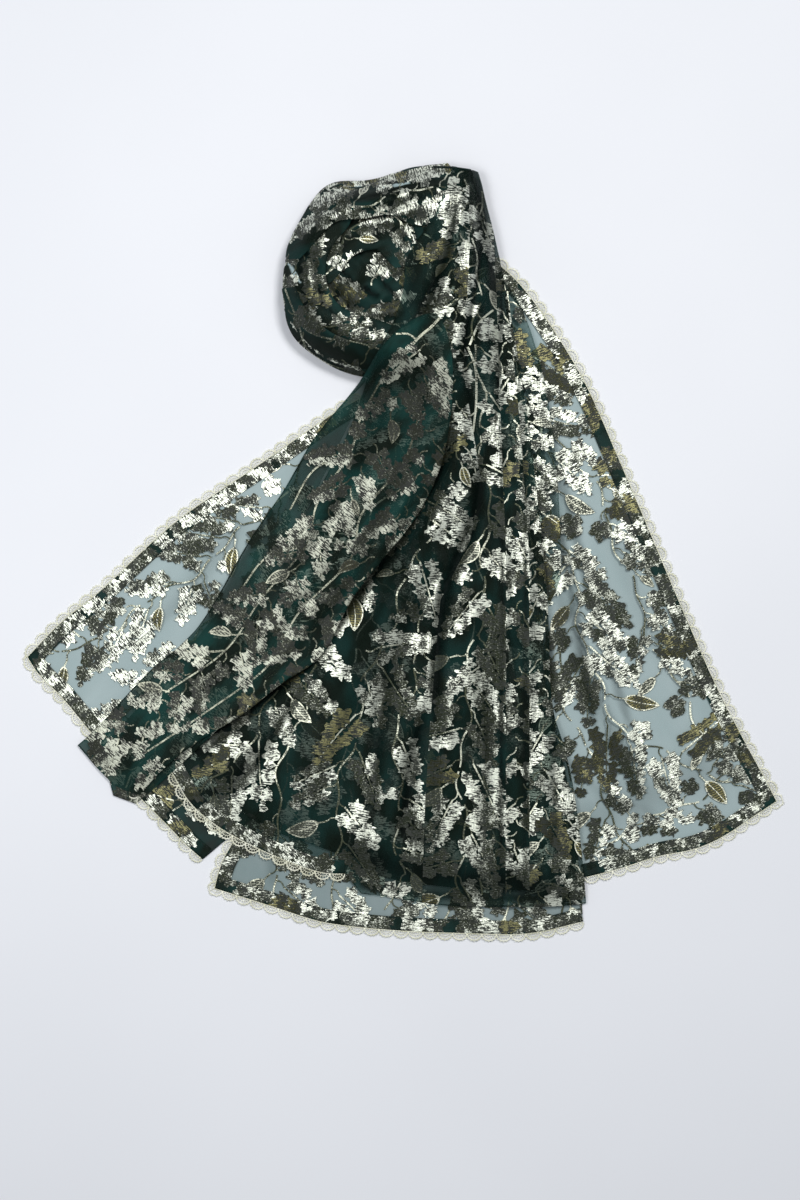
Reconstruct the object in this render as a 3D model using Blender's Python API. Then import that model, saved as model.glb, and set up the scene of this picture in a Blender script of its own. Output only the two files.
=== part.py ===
"""A dupatta stole laid on a table.

One long length of sheer brocade, with a turned hem and scalloped lace round its sides, is gathered across
its middle, coiled into a loose roll and fanned out in stretches that overlap. Each stretch is a thin wall.

All the stretches share one net of triangles in plan. A stretch is the triangles inside its outline, lifted
to lie on whatever is under it, with its own folds on top. As every stretch bends along the same triangles,
each follows the one below at an even gap. Plan points are (x, y) in mm: x to the right, y away.
"""

import math
from typing import NamedTuple

import bmesh
import bpy
import numpy as np
from mathutils import Vector
from mathutils.geometry import delaunay_2d_cdt

MM = 0.001

# Driving dimensions, in mm.
CLOTH = 1.1  # wall of one stretch: one or two plies of organza with its brocade
GAP = 0.3  # between stretches
HEM_WIDTH = 13.5
HEM_RISE = 0.7  # what the turned-in plies add
HEM_STEP = 1.2  # width of the slope up onto the hem
HEM_SPACING = 26.0  # of points along its inner edge
HEM_SLACK = 0.4  # what its inner edge may stray
LACE_GAP = 0.36  # from the cloth's edge
LACE_REACH = 7.5
LACE_WALL = 1.0
SCALLOP = 14.5  # pitch of the lace
SCALLOP_SHAPE = (0.45, 0.88, 1.0, 0.88)  # share of its reach, a quarter of the pitch apart
EDGE_STEP = 27.0  # spacing of points along an edge without lace
CREST_STEP = 42.0  # and along the crest of a crisp fold
TURN_STEP = 16.0  # and along the crest of a fold of the roll
CRISP = 6.0  # a fold this high has its crest among the net's edges
NET_CLEARANCE = 9.0  # from a point of the net to an outline
FAN_RINGS = 14
ROLL_SPOKES = 30
ROLL_RINGS = (0.12, 0.27, 0.41, 0.54, 0.66, 0.77, 0.87, 0.95)
STEEPEST = 4.0  # most that a slope may add to a wall's height
DRAPE_ROUNDS = 16  # how far a stretch bridges what lies under it
FLAT = math.radians(0.01)  # triangles flat on the table within this are made one face
NEAREST = 0.5  # points closer than this pull each other no harder
MERGED = 0.05  # and closer than this they are one
FINE = 24  # samples of a curve between two of its given points
ORIGIN = (-0.9, 1.8)  # the middle of the whole, in the plan's own coordinates

# The edges of the stretches.
EDGES = {
    "left_wing_side": [
        (-41, 158), (-71, 141), (-148, 88), (-228, 33), (-301, -34), (-342, -67), (-375, -101),
    ],
    "left_wing_end": [(-375, -101), (-363, -120), (-344, -137), (-311, -177), (-281, -212)],
    "left_wing_inner": [(-281, -212), (-203, -124), (-113, 16), (-41, 158)],
    "right_wing_side": [
        (92, 294), (117, 271), (150, 226), (183, 170), (211, 107), (237, 46), (277, -49), (317, -139),
        (362, -224), (373, -245),
    ],
    "right_wing_end": [
        (373, -245), (347, -262), (317, -282), (287, -294), (257, -299), (217, -312), (182, -321),
    ],
    "right_wing_tuck": [(182, -321), (155, -327), (127, -329)],
    "right_wing_inner": [(127, -329), (112, -144), (86, 106), (68, 280), (92, 294)],
    "right_pleats_right": [(100, 276), (122, 240), (142, 170), (154, 80), (158, -20)],
    "right_pleats_foot": [(158, -20), (146, -50), (130, -70)],
    "right_pleats_left": [(130, -70), (112, 80), (92, 210), (88, 270), (100, 276)],
    "lower_flap_side": [(-141, -234), (-167, -282), (-181, -306), (-188, -332)],
    "lower_flap_end": [
        (-188, -332), (-143, -346), (-103, -359), (-73, -367), (-6, -374), (74, -377), (127, -377),
        (180, -365),
    ],
    "lower_flap_fold": [(180, -365), (177, -324), (172, -274), (163, -224), (154, -184), (141, -84)],
    "lower_flap_inner": [(141, -84), (-3, -104), (-103, -144), (-141, -234)],
    "under_flap_end": [(-285, -219), (-263, -241), (-238, -266), (-213, -292), (-200, -303)],
    "under_flap_fold": [(-200, -303), (-185, -289), (-175, -282), (-150, -262)],
    "under_flap_inner": [(-150, -262), (-188, -189), (-253, -189), (-285, -219)],
    "front_neck_left": [
        (49, 384), (39, 351), (27, 324), (9, 304), (1, 286), (1, 261), (-5, 238), (-17, 214), (-31, 188),
    ],
    "front_tuck": [(-31, 188), (-63, 106), (-143, -34), (-208, -134), (-251, -194)],
    "front_end": [
        (-251, -194), (-232, -213), (-214, -245), (-190, -266), (-164, -282), (-124, -301), (-82, -316),
        (-58, -317),
    ],
    "front_lower": [
        (-58, -317), (-51, -334), (-35, -338), (-6, -342), (32, -348), (61, -350), (142, -350),
        (183, -347),
    ],
    "front_fold": [
        (183, -347), (181, -324), (176, -274), (169, -224), (159, -184), (148, -144), (144, -44), (134, 56),
        (121, 156), (104, 256), (95, 298),
    ],
    "front_neck_right": [(95, 298), (89, 324), (83, 346), (78, 366), (70, 386), (49, 384)],
    "left_fold_left": [
        (20, 236), (-4, 222), (-24, 200), (-37, 181), (-53, 161), (-91, 115), (-116, 70), (-153, 16),
        (-197, -61), (-224, -91), (-242, -104), (-277, -140), (-308, -175), (-325, -189),
    ],
    "left_fold_end": [(-325, -189), (-302, -216), (-284, -233), (-271, -242), (-263, -239)],
    "left_fold_right": [
        (-263, -239), (-237, -210), (-200, -182), (-159, -157), (-118, -124), (-78, -98), (-53, -44),
        (-10, 9), (12, 36), (37, 86), (48, 146), (48, 196), (40, 226),
    ],
    "left_fold_top": [(40, 226), (32, 236), (20, 236)],
    "left_ply_left": [(-180, -50), (-235, -118), (-300, -190)],
    "left_ply_end": [(-300, -190), (-291, -236), (-278, -247), (-262, -246), (-248, -232)],
    "left_ply_right": [(-248, -232), (-180, -168), (-120, -95), (-180, -50)],
    "hidden_left": [(10, 200), (-75, 60), (-135, -60), (-205, -165), (-212, -190)],
    "hidden_end": [
        (-212, -190), (-180, -235), (-140, -270), (-70, -295), (-30, -318), (60, -332), (168, -334),
    ],
    "hidden_right": [
        (168, -334), (162, -270), (146, -184), (134, -130), (128, -20), (112, 90), (96, 190), (86, 262),
    ],
    "hidden_top": [(86, 262), (50, 236), (10, 200)],
    "ply_right": [(178, -341), (172, -274), (164, -224), (154, -184), (142, -130), (139, -30)],
    "ply_left": [(139, -30), (104, -40), (120, -180), (132, -336), (178, -341)],
}


class Stretch(NamedTuple):
    name: str
    edges: tuple  # its outline, edge by edge
    hemmed: tuple = ()  # edges that are turned in
    laced: tuple = ()  # edges with lace sewn on, end to end
    lace: str = ""  # the name of that lace


class Fold(NamedTuple):
    stretch: str
    path: tuple  # along the crest
    width: tuple  # from crest to foot, where the path starts and ends
    height: tuple  # where it starts, halfway and where it ends


STRETCHES = (
    Stretch("left_wing", ("left_wing_side", "left_wing_end", "left_wing_inner"),
            ("left_wing_side", "left_wing_end"), ("left_wing_side", "left_wing_end"), "left_wing_lace"),
    Stretch("right_wing", ("right_wing_side", "right_wing_end", "right_wing_tuck", "right_wing_inner"),
            ("right_wing_side", "right_wing_end"), ("right_wing_side", "right_wing_end"), "right_wing_lace"),
    Stretch("lower_flap", ("lower_flap_side", "lower_flap_end", "lower_flap_fold", "lower_flap_inner"),
            ("lower_flap_side", "lower_flap_end"), ("lower_flap_side", "lower_flap_end"), "lower_flap_lace"),
    Stretch("left_under_flap", ("under_flap_end", "under_flap_fold", "under_flap_inner"),
            ("under_flap_end",), ("under_flap_end",), "under_flap_lace"),
    Stretch("right_pleats", ("right_pleats_right", "right_pleats_foot", "right_pleats_left")),
    Stretch("right_under_fold", ("ply_right", "ply_left")),
    Stretch("front_panel", ("front_neck_left", "front_tuck", "front_end", "front_lower", "front_fold",
                            "front_neck_right"), ("front_end",), ("front_end",), "front_lace"),
    Stretch("left_fold_ply", ("left_ply_left", "left_ply_end", "left_ply_right")),
    Stretch("left_fold", ("left_fold_left", "left_fold_end", "left_fold_right", "left_fold_top")),
)

FOLDS = (
    Fold("left_wing", ((-90, 60), (-220, -40), (-300, -110)), (18, 26), (4, 3, 1)),
    Fold("left_wing", ((-150, 0), (-240, -90), (-310, -160)), (14, 20), (4, 3, 1)),
    Fold("right_wing", ((125, 180), (150, 20), (200, -130), (250, -270)), (10, 26), (5, 5, 2)),
    Fold("right_wing", ((140, 180), (190, 40), (250, -110), (310, -240)), (9, 24), (4, 4, 2)),
    Fold("right_wing", ((165, -120), (185, -220), (195, -300)), (12, 20), (2, 3, 2)),
    Fold("right_pleats", ((98, 262), (118, 160), (128, 60), (138, -30)), (7, 9), (6, 5, 2)),
    Fold("right_pleats", ((104, 262), (130, 160), (146, 60), (152, -20)), (7, 9), (6, 5, 2)),
    Fold("lower_flap", ((60, -300), (70, -366)), (20, 26), (2, 2, 1)),
    Fold("front_panel", ((60, 372), (52, 300), (58, 180), (45, 60), (-30, -90), (-140, -250)), (16, 42),
         (3, 15, 5)),
    Fold("front_panel", ((70, 372), (72, 290), (70, 120), (40, -60), (-40, -290)), (12, 36), (3, 12, 5)),
    Fold("front_panel", ((80, 300), (86, 140), (74, -40), (45, -180), (45, -330)), (12, 30), (4, 11, 5)),
    Fold("front_panel", ((92, 180), (100, 20), (104, -150), (104, -340)), (10, 15), (4, 9, 6)),
    Fold("front_panel", ((106, 180), (120, 20), (132, -150), (134, -340)), (8, 14), (3, 8, 6)),
    Fold("front_panel", ((118, 120), (138, -20), (152, -180), (168, -340)), (8, 13), (2, 6, 5)),
    Fold("left_fold", ((30, 200), (22, 120), (-35, -10), (-90, -100), (-245, -215)), (16, 22), (6, 12, 6)),
    Fold("left_fold", ((8, 200), (-20, 110), (-90, -10), (-160, -110), (-285, -205)), (14, 26), (3, 7, 3)),
    Fold("left_fold", ((-10, 196), (-70, 100), (-140, -10), (-210, -105), (-305, -185)), (10, 22), (2, 5, 2)),
)

# The fan's lines, from the neck outward, each with the number of strips between it and the next.
FAN = (
    ([(-10, 215), (-71, 141), (-148, 88), (-228, 33), (-301, -34), (-395, -118)], 4),
    ([(2, 236), (-37, 181), (-116, 70), (-197, -61), (-242, -104), (-350, -225)], 7),
    ([(40, 240), (37, 86), (-10, 9), (-78, -98), (-200, -182), (-290, -268)], 10),
    ([(60, 240), (77, 76), (37, -44), (7, -214), (-13, -390)], 10),
    ([(94, 298), (103, 256), (133, 56), (147, -144), (186, -390)], 8),
    ([(94, 298), (150, 226), (211, 107), (277, -49), (362, -224), (400, -300)], 0),
)

# The roll: its outline anticlockwise from the neck, and its height from the eye of the coil outward.
ROLL_OUTLINE = [
    (67, 383), (37, 384), (5, 383), (-18, 372), (-48, 362), (-68, 367), (-93, 338), (-105, 313), (-115, 286),
    (-112, 241), (-101, 216), (-72, 196), (-37, 183), (17, 184), (62, 216), (90, 262), (86, 306), (76, 350),
]
ROLL_EYE = (-43, 278)
ROLL_HEIGHTS = ((0.0, 40), (0.2, 41), (0.36, 36), (0.5, 44), (0.66, 52), (0.8, 50), (0.91, 38), (1.0, 14))

# The turns of the roll that show, innermost first, as (spoke in degrees, share of the way out) round each.
TURNS = {
    "roll_swirl_inner": ((0, 0.5), (45, 0.53), (90, 0.55), (135, 0.55), (180, 0.55), (225, 0.55), (270, 0.55),
                         (315, 0.52)),
    "roll_swirl_outer": ((8, 0.46), (50, 0.52), (95, 0.54), (150, 0.53), (196, 0.5), (204, 0.36), (170, 0.22),
                         (110, 0.19), (50, 0.2), (6, 0.26)),
    "roll_side_turn": ((112, 1.03), (145, 1.03), (182, 1.03), (215, 1.02), (250, 1.02), (290, 1.02),
                       (306, 0.8), (300, 0.54), (270, 0.46), (230, 0.45), (180, 0.46), (135, 0.48),
                       (100, 0.52), (96, 0.72)),
    "roll_top_turn": ((52, 1.05), (80, 1.06), (110, 1.06), (145, 1.06), (166, 1.05), (168, 0.84),
                      (145, 0.7), (115, 0.62), (85, 0.57), (60, 0.52), (34, 0.54), (36, 0.9)),
    "roll_outer_turn": ((190, 1.05), (220, 1.06), (245, 1.06), (265, 1.06), (290, 1.05), (300, 0.94),
                        (300, 0.78), (270, 0.75), (245, 0.77), (215, 0.8), (194, 0.86)),
}


class TurnFold(NamedTuple):
    turn: str
    path: tuple  # places on the roll along the crest
    width: float
    height: float


TURN_FOLDS = (
    TurnFold("roll_top_turn", ((44, 0.72), (85, 0.64), (130, 0.74), (163, 0.88)), 12, 5),
    TurnFold("roll_top_turn", ((50, 0.9), (90, 0.84), (150, 0.93)), 10, 4),
    TurnFold("roll_side_turn", ((298, 0.62), (250, 0.56), (200, 0.56), (140, 0.57)), 12, 5),
    TurnFold("roll_outer_turn", ((296, 0.83), (250, 0.83), (215, 0.86), (197, 0.9)), 11, 5),
    TurnFold("roll_swirl_outer", ((15, 0.34), (80, 0.34), (140, 0.35), (190, 0.4)), 13, 8),
    TurnFold("roll_swirl_inner", ((210, 0.4), (260, 0.36), (310, 0.34), (0, 0.38)), 12, 8),
    TurnFold("roll_swirl_inner", ((225, 0.14), (285, 0.18), (345, 0.12)), 11, 7),
)

# How high the hidden folds lie, by distance from the neck.
NECK = (66, 270)
HIDDEN_HEIGHTS = ((0, 30), (60, 23), (140, 14), (260, 9), (420, 6), (640, 3.5))
HIDDEN_EDGE = 14.0  # width of their rounded edge
EDGE_SHARE = 0.3  # of the height, at the very edge
EDGE_ROUND = 0.6  # power of its profile
HIDDEN = ("hidden_left", "hidden_end", "hidden_right", "hidden_top")  # edges of their outline



class Finish(NamedTuple):
    colour: tuple
    roughness: float
    metallic: float  # the cloth's share of metal thread


FINISHES = {
    "cloth": Finish((0.012, 0.055, 0.048, 1.0), 0.55, 0.25),
    "lace": Finish((0.66, 0.64, 0.47, 1.0), 0.7, 0.0),
}


def smooth(points, count=None, step=EDGE_STEP):
    """Points evenly spaced along a smooth curve that runs through the given ones."""
    p = np.array(points, float)
    p = np.vstack([2 * p[0] - p[1], p, 2 * p[-1] - p[-2]])
    fine = []
    for a, b, c, d in zip(p, p[1:], p[2:], p[3:]):
        t = np.linspace(0, 1, FINE, endpoint=False)[:, None]
        fine.append(b + 0.5 * t * (c - a + t * (2 * a - 5 * b + 4 * c - d + t * (3 * (b - c) + d - a))))
    fine = np.vstack(fine + [p[-2:-1]])
    along = np.concatenate([[0], np.cumsum(np.linalg.norm(np.diff(fine, axis=0), axis=1))])
    if count is None:
        count = max(2, round(along[-1] / step))
    at = np.linspace(0, along[-1], count + 1)
    return np.column_stack([np.interp(at, along, fine[:, 0]), np.interp(at, along, fine[:, 1])])


def length(points):
    return np.linalg.norm(np.diff(points, axis=0), axis=1).sum()


def signed_area(loop):
    x, y = np.array(loop).T
    return 0.5 * (x @ np.roll(y, -1) - y @ np.roll(x, -1))


def inside(points, loop):
    """Which points lie inside a closed outline."""
    hit = np.zeros(len(points), bool)
    for (ax, ay), (bx, by) in zip(loop, np.roll(loop, -1, axis=0)):
        spans = (points[:, 1] < ay) != (points[:, 1] < by)
        if ay != by:
            hit ^= spans & (points[:, 0] < ax + (points[:, 1] - ay) * (bx - ax) / (by - ay))
    return hit


def distance_to(points, path):
    """Each point's distance to a path, and how far along the path its nearest place is, from 0 to 1."""
    best = np.full(len(points), np.inf)
    where = np.zeros(len(points))
    run, whole = 0.0, length(path)
    for a, b in zip(path, path[1:]):
        span = np.linalg.norm(b - a)
        t = np.clip((points - a) @ (b - a) / span**2, 0, 1)
        away = np.linalg.norm(points - a - t[:, None] * (b - a), axis=1)
        nearer = away < best
        where[nearer] = (run + t[nearer] * span) / whole
        best[nearer] = away[nearer]
        run += span
    return best, where


def normals(path, side):
    """The direction out of the cloth at each point of an edge."""
    run = np.gradient(path, axis=0)
    run /= np.linalg.norm(run, axis=1)[:, None]
    return side * np.column_stack([run[:, 1], -run[:, 0]])


def edge_points(name, laced):
    curve = smooth(EDGES[name])
    if name in laced:
        return smooth(EDGES[name], count=round(length(curve) / SCALLOP))
    return curve


def outline(stretch):
    """The stretch's closed outline. Neighbouring edges share their corner."""
    return np.vstack([edge_points(edge, stretch.laced)[:-1] for edge in stretch.edges])


def lace_outline(stretch):
    """A strip along the laced edges, a gap clear of the cloth, with one scallop to each step of the edge."""
    side = 1 if signed_area(outline(stretch)) > 0 else -1
    chain = np.vstack([edge_points(e, stretch.laced)[bool(i):] for i, e in enumerate(stretch.laced)])
    out = normals(chain, side)
    inner = chain + LACE_GAP * out
    outer = []
    for i in range(len(chain) - 1):
        for k, reach in enumerate(SCALLOP_SHAPE):
            t = k / len(SCALLOP_SHAPE)
            normal = (1 - t) * out[i] + t * out[i + 1]
            point = (1 - t) * chain[i] + t * chain[i + 1]
            outer.append(point + normal / np.linalg.norm(normal) * (LACE_GAP + LACE_REACH * reach))
    outer.append(chain[-1] + out[-1] * (LACE_GAP + LACE_REACH * SCALLOP_SHAPE[0]))
    return np.vstack([inner, outer[::-1]])


def hem_lines(stretch):
    """The stitched inner edge of the turned hem, and the line where its slope ends."""
    side = 1 if signed_area(outline(stretch)) > 0 else -1
    chain = np.vstack([edge_points(e, stretch.laced)[bool(i):] for i, e in enumerate(stretch.hemmed)])
    lines = []
    for back in (HEM_WIDTH, HEM_WIDTH + HEM_STEP):
        line = chain - normals(chain, side) * back
        away = distance_to(line, chain)[0]
        line = line[(away > back - HEM_SLACK) & inside(line, outline(stretch))]
        lines.append(smooth(line, step=HEM_SPACING))
    return lines


def roll_place(spoke, share):
    """A place on the roll: the direction from its eye in degrees, and the share of the way to its outline."""
    eye = np.array(ROLL_EYE, float)
    ring = smooth(ROLL_OUTLINE + ROLL_OUTLINE[:1], step=4.0) - eye
    angles = np.unwrap(np.arctan2(ring[:, 1], ring[:, 0]))
    target = math.radians(spoke)
    while target < angles[0]:
        target += math.tau
    while target > angles[-1]:
        target -= math.tau
    reach = np.interp(target, angles, np.linalg.norm(ring, axis=1))
    return eye + share * reach * np.array([math.cos(target), math.sin(target)])


def roll_share(points):
    """How far out on the roll each point lies, as a share of the way from its eye to its outline."""
    eye = np.array(ROLL_EYE, float)
    ring = smooth(ROLL_OUTLINE + ROLL_OUTLINE[:1], step=4.0) - eye
    angles = np.unwrap(np.arctan2(ring[:, 1], ring[:, 0]))
    spokes = np.arctan2(points[:, 1] - eye[1], points[:, 0] - eye[0])
    spokes = angles[0] + np.mod(spokes - angles[0], math.tau)
    reach = np.interp(spokes, angles, np.linalg.norm(ring, axis=1))
    return np.linalg.norm(points - eye, axis=1) / reach


def turn_outline(name):
    corners = [roll_place(*place) for place in TURNS[name]]
    return smooth(corners + corners[:1], step=13.0)[:-1]


def fan_points():
    lines = [smooth(points, count=FAN_RINGS) for points, _ in FAN]
    found = []
    for (_, strips), here, beyond in zip(FAN, lines, lines[1:]):
        for k in range(strips):
            found.append(here + (beyond - here) * k / strips)
    return np.vstack(found + [lines[-1]])


def roll_points():
    found = [np.array(ROLL_EYE, float)]
    for i, share in enumerate(ROLL_RINGS):
        spokes = max(8, round(ROLL_SPOKES * min(1, share * 1.5)))
        for k in range(spokes):
            found.append(roll_place(360 * (k + 0.5 * (i % 2)) / spokes, share))
    return np.array(found)


def net(loops, lines, stretches):
    """One net of triangles in plan, with every outline and hem line among its edges."""
    paths = [np.vstack([loop, loop[:1]]) for loop in loops] + lines
    roll = loops[0]
    fan = fan_points()
    fan = fan[~inside(fan, roll)]
    free = np.vstack([fan, roll_points()])
    kept = np.zeros(len(free), bool)
    for loop in stretches:
        kept |= inside(free, loop)
    for path in paths:
        kept &= distance_to(free, path)[0] > NET_CLEARANCE
    points = list(free[kept])
    thinned = []
    for point in points:
        if not thinned or np.linalg.norm(np.array(thinned) - point, axis=1).min() > NET_CLEARANCE:
            thinned.append(point)
    points, edges = thinned, []
    for path in paths:
        first = len(points)
        points.extend(path)
        edges.extend((first + k, first + k + 1) for k in range(len(path) - 1))
    verts, _, faces, *_ = delaunay_2d_cdt([Vector(p) for p in points], edges, [], 0, MERGED)
    return np.array([tuple(v) for v in verts]), np.array([f for f in faces if len(f) == 3])


def slope(plan, faces, heights):
    """How steep a stretch is at each of its points, as rise over run."""
    a, b, c = (plan[faces[:, k]] for k in range(3))
    za, zb, zc = (heights[faces[:, k]] for k in range(3))
    u, v = b - a, c - a
    area = u[:, 0] * v[:, 1] - u[:, 1] * v[:, 0]
    gx = ((zb - za) * v[:, 1] - (zc - za) * u[:, 1]) / area
    gy = ((zc - za) * u[:, 0] - (zb - za) * v[:, 0]) / area
    weight = np.zeros(len(plan))
    total = np.zeros(len(plan))
    for k in range(3):
        np.add.at(weight, faces[:, k], area)
        np.add.at(total, faces[:, k], area * np.hypot(gx, gy))
    return total / np.maximum(weight, 1e-9)


def drape(plan, faces, ground):
    """Cloth pulled smooth over the ground: it bridges the steps and hollows, and lies down at its outline."""
    ends = np.concatenate([faces[:, [0, 1]], faces[:, [1, 2]], faces[:, [2, 0]]])
    _, index, count = np.unique(np.sort(ends, axis=1), axis=0, return_inverse=True, return_counts=True)
    loose = np.ones(len(ground), bool)
    loose[ends[count[index.reshape(-1)] == 1]] = False
    here, there = np.vstack([ends, ends[:, ::-1]]).T
    pull = 1 / np.maximum(np.linalg.norm(plan[here] - plan[there], axis=1), NEAREST)
    whole = np.maximum(np.bincount(here, pull, len(ground)), 1e-9)
    height = ground.copy()
    for _ in range(DRAPE_ROUNDS):
        mean = np.bincount(here, pull * height[there], len(ground)) / whole
        height = np.where(loose, np.maximum(ground, mean), ground)
    return height


def lift_of(name, plan):
    """The height that a stretch's own folds give it."""
    lift = np.zeros(len(plan))
    rows = [(smooth(f.path, step=12.0), f.width, f.height) for f in FOLDS if f.stretch == name]
    for fold in TURN_FOLDS:
        if fold.turn == name:
            path = smooth([roll_place(*place) for place in fold.path], step=TURN_STEP)
            rows.append((path, (fold.width, fold.width), (fold.height / 2, fold.height, fold.height / 2)))
    for path, width, height in rows:
        away, along = distance_to(plan, path)
        foot = np.interp(along, (0, 1), width)
        crest = np.interp(along, (0, 0.5, 1), height)
        lift = np.maximum(lift, crest * np.cos(np.clip(away / foot, 0, 1) * math.pi / 2) ** 2)
    return lift


def wall(name, plan, faces, low, high, finish):
    """One closed solid between two heights over the same triangles, standing on its own outline."""
    mesh = bpy.data.meshes.new(name)
    shape = bmesh.new()
    used = np.unique(faces)
    place = plan - ORIGIN
    lower = {v: shape.verts.new(Vector((*place[v], low[v])) * MM) for v in used}
    upper = {v: shape.verts.new(Vector((*place[v], high[v])) * MM) for v in used}
    sides = {}
    for a, b, c in faces:
        shape.faces.new((upper[a], upper[b], upper[c]))
        shape.faces.new((lower[c], lower[b], lower[a]))
        for start, end in ((a, b), (b, c), (c, a)):
            if (end, start) in sides:
                del sides[(end, start)]
            else:
                sides[(start, end)] = True
    for start, end in sides:
        shape.faces.new((lower[start], lower[end], upper[end], upper[start]))
    flat = [f for f in shape.faces if all(v.co.z == 0.0 for v in f.verts)]
    edges = {e for f in flat for e in f.edges}
    verts = {v for f in flat for v in f.verts}
    bmesh.ops.dissolve_limit(shape, angle_limit=FLAT, edges=list(edges), verts=list(verts))
    bmesh.ops.triangulate(shape, faces=[f for f in shape.faces if len(f.verts) > 3])
    shape.to_mesh(mesh)
    shape.free()
    mesh.shade_smooth()
    mesh.set_sharp_from_angle(angle=math.radians(50))
    mesh.materials.append(material(name, FINISHES[finish]))
    piece = bpy.data.objects.new(name, mesh)
    bpy.context.scene.collection.objects.link(piece)


def material(name, finish):
    made = bpy.data.materials.new(name)
    made.use_nodes = True
    shader = made.node_tree.nodes["Principled BSDF"]
    shader.inputs["Base Color"].default_value = finish.colour
    shader.inputs["Roughness"].default_value = finish.roughness
    shader.inputs["Metallic"].default_value = finish.metallic
    return made


def build():
    for obj in list(bpy.data.objects):
        bpy.data.objects.remove(obj, do_unlink=True)

    roll = smooth(ROLL_OUTLINE + ROLL_OUTLINE[:1], step=15.0)[:-1]
    hidden = np.vstack([smooth(EDGES[edge])[:-1] for edge in HIDDEN])
    outlines = {s.name: outline(s) for s in STRETCHES}
    laces = {s.lace: lace_outline(s) for s in STRETCHES if s.laced}
    turns = {name: turn_outline(name) for name in TURNS}
    lines = [line for s in STRETCHES if s.hemmed for line in hem_lines(s)]
    lines += [smooth(fold.path, step=CREST_STEP) for fold in FOLDS if max(fold.height) >= CRISP]
    lines += [smooth([roll_place(*place) for place in fold.path], step=TURN_STEP) for fold in TURN_FOLDS]
    solid = [roll, hidden, *outlines.values(), *turns.values()]
    plan, faces = net([*solid, *laces.values()], lines, solid)
    centre = plan[faces].mean(axis=1)
    heap = np.full(len(plan), -GAP)

    def triangles(loop):
        return faces[inside(centre, loop)]

    def lay(name, loop, low, high, finish="cloth"):
        cut = triangles(loop)
        used = np.unique(cut)
        wall(name, plan, cut, low, high, finish)
        heap[used] = np.maximum(heap[used], high[used])

    def lay_cloth(name, loop, thickness, finish="cloth", rise=0.0):
        cut = triangles(loop)
        low = drape(plan, cut, heap + GAP) + lift_of(name, plan)
        steep = np.minimum(np.sqrt(1 + slope(plan, cut, low) ** 2), STEEPEST)
        lay(name, loop, low, low + thickness * steep + rise, finish)

    def lay_stretch(stretch):
        rise = np.zeros(len(plan))
        for edge in stretch.hemmed:
            away = distance_to(plan, edge_points(edge, stretch.laced))[0]
            rise[away < HEM_WIDTH + HEM_SLACK] = HEM_RISE
        lay_cloth(stretch.name, outlines[stretch.name], CLOTH, rise=rise)
        if stretch.laced:
            lay_cloth(stretch.lace, laces[stretch.lace], LACE_WALL, "lace")

    by_name = {s.name: s for s in STRETCHES}
    for name in ("left_wing", "right_wing", "lower_flap", "left_under_flap", "right_pleats"):
        lay_stretch(by_name[name])

    shares, heights = zip(*ROLL_HEIGHTS)
    dome = np.interp(roll_share(plan), shares, heights)
    lay("roll_core", roll, heap + GAP, np.maximum(heap + GAP + CLOTH, dome))
    for name, loop in turns.items():
        lay_cloth(name, loop, CLOTH)

    spread, heights = zip(*HIDDEN_HEIGHTS)
    depth = np.interp(np.linalg.norm(plan - NECK, axis=1), spread, heights)
    from_edge = distance_to(plan, np.vstack([hidden, hidden[:1]]))[0]
    depth *= EDGE_SHARE + (1 - EDGE_SHARE) * np.clip(from_edge / HIDDEN_EDGE, 0, 1) ** EDGE_ROUND
    lay("hidden_folds", hidden, heap + GAP, heap + GAP + np.maximum(CLOTH, depth))
    for name in ("right_under_fold", "front_panel", "left_fold_ply", "left_fold"):
        lay_stretch(by_name[name])


build()
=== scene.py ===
import math
from typing import NamedTuple

import bpy
import numpy as np
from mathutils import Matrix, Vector
from mathutils.geometry import delaunay_2d_cdt


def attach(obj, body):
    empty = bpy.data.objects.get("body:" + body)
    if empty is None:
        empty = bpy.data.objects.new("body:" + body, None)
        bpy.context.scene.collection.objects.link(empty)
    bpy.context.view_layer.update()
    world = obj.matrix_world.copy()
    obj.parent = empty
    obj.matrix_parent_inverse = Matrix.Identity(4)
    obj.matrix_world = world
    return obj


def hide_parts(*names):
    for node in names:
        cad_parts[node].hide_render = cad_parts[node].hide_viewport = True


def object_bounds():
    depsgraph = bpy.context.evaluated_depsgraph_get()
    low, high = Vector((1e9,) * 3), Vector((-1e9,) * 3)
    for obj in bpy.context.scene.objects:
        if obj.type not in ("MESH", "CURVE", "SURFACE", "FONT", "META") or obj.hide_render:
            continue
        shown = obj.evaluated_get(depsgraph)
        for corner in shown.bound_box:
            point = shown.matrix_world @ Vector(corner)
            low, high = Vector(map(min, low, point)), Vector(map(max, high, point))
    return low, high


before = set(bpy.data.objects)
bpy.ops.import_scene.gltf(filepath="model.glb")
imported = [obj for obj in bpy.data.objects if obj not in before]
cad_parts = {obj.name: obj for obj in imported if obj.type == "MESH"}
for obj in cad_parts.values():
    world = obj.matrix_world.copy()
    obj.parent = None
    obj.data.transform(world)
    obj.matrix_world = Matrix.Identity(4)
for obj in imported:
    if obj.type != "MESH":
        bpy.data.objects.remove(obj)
cad_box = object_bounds()

# Lengths below are in mm, in the frame's own axes: x to the right, y away, z up.
MM = 0.001


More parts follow.
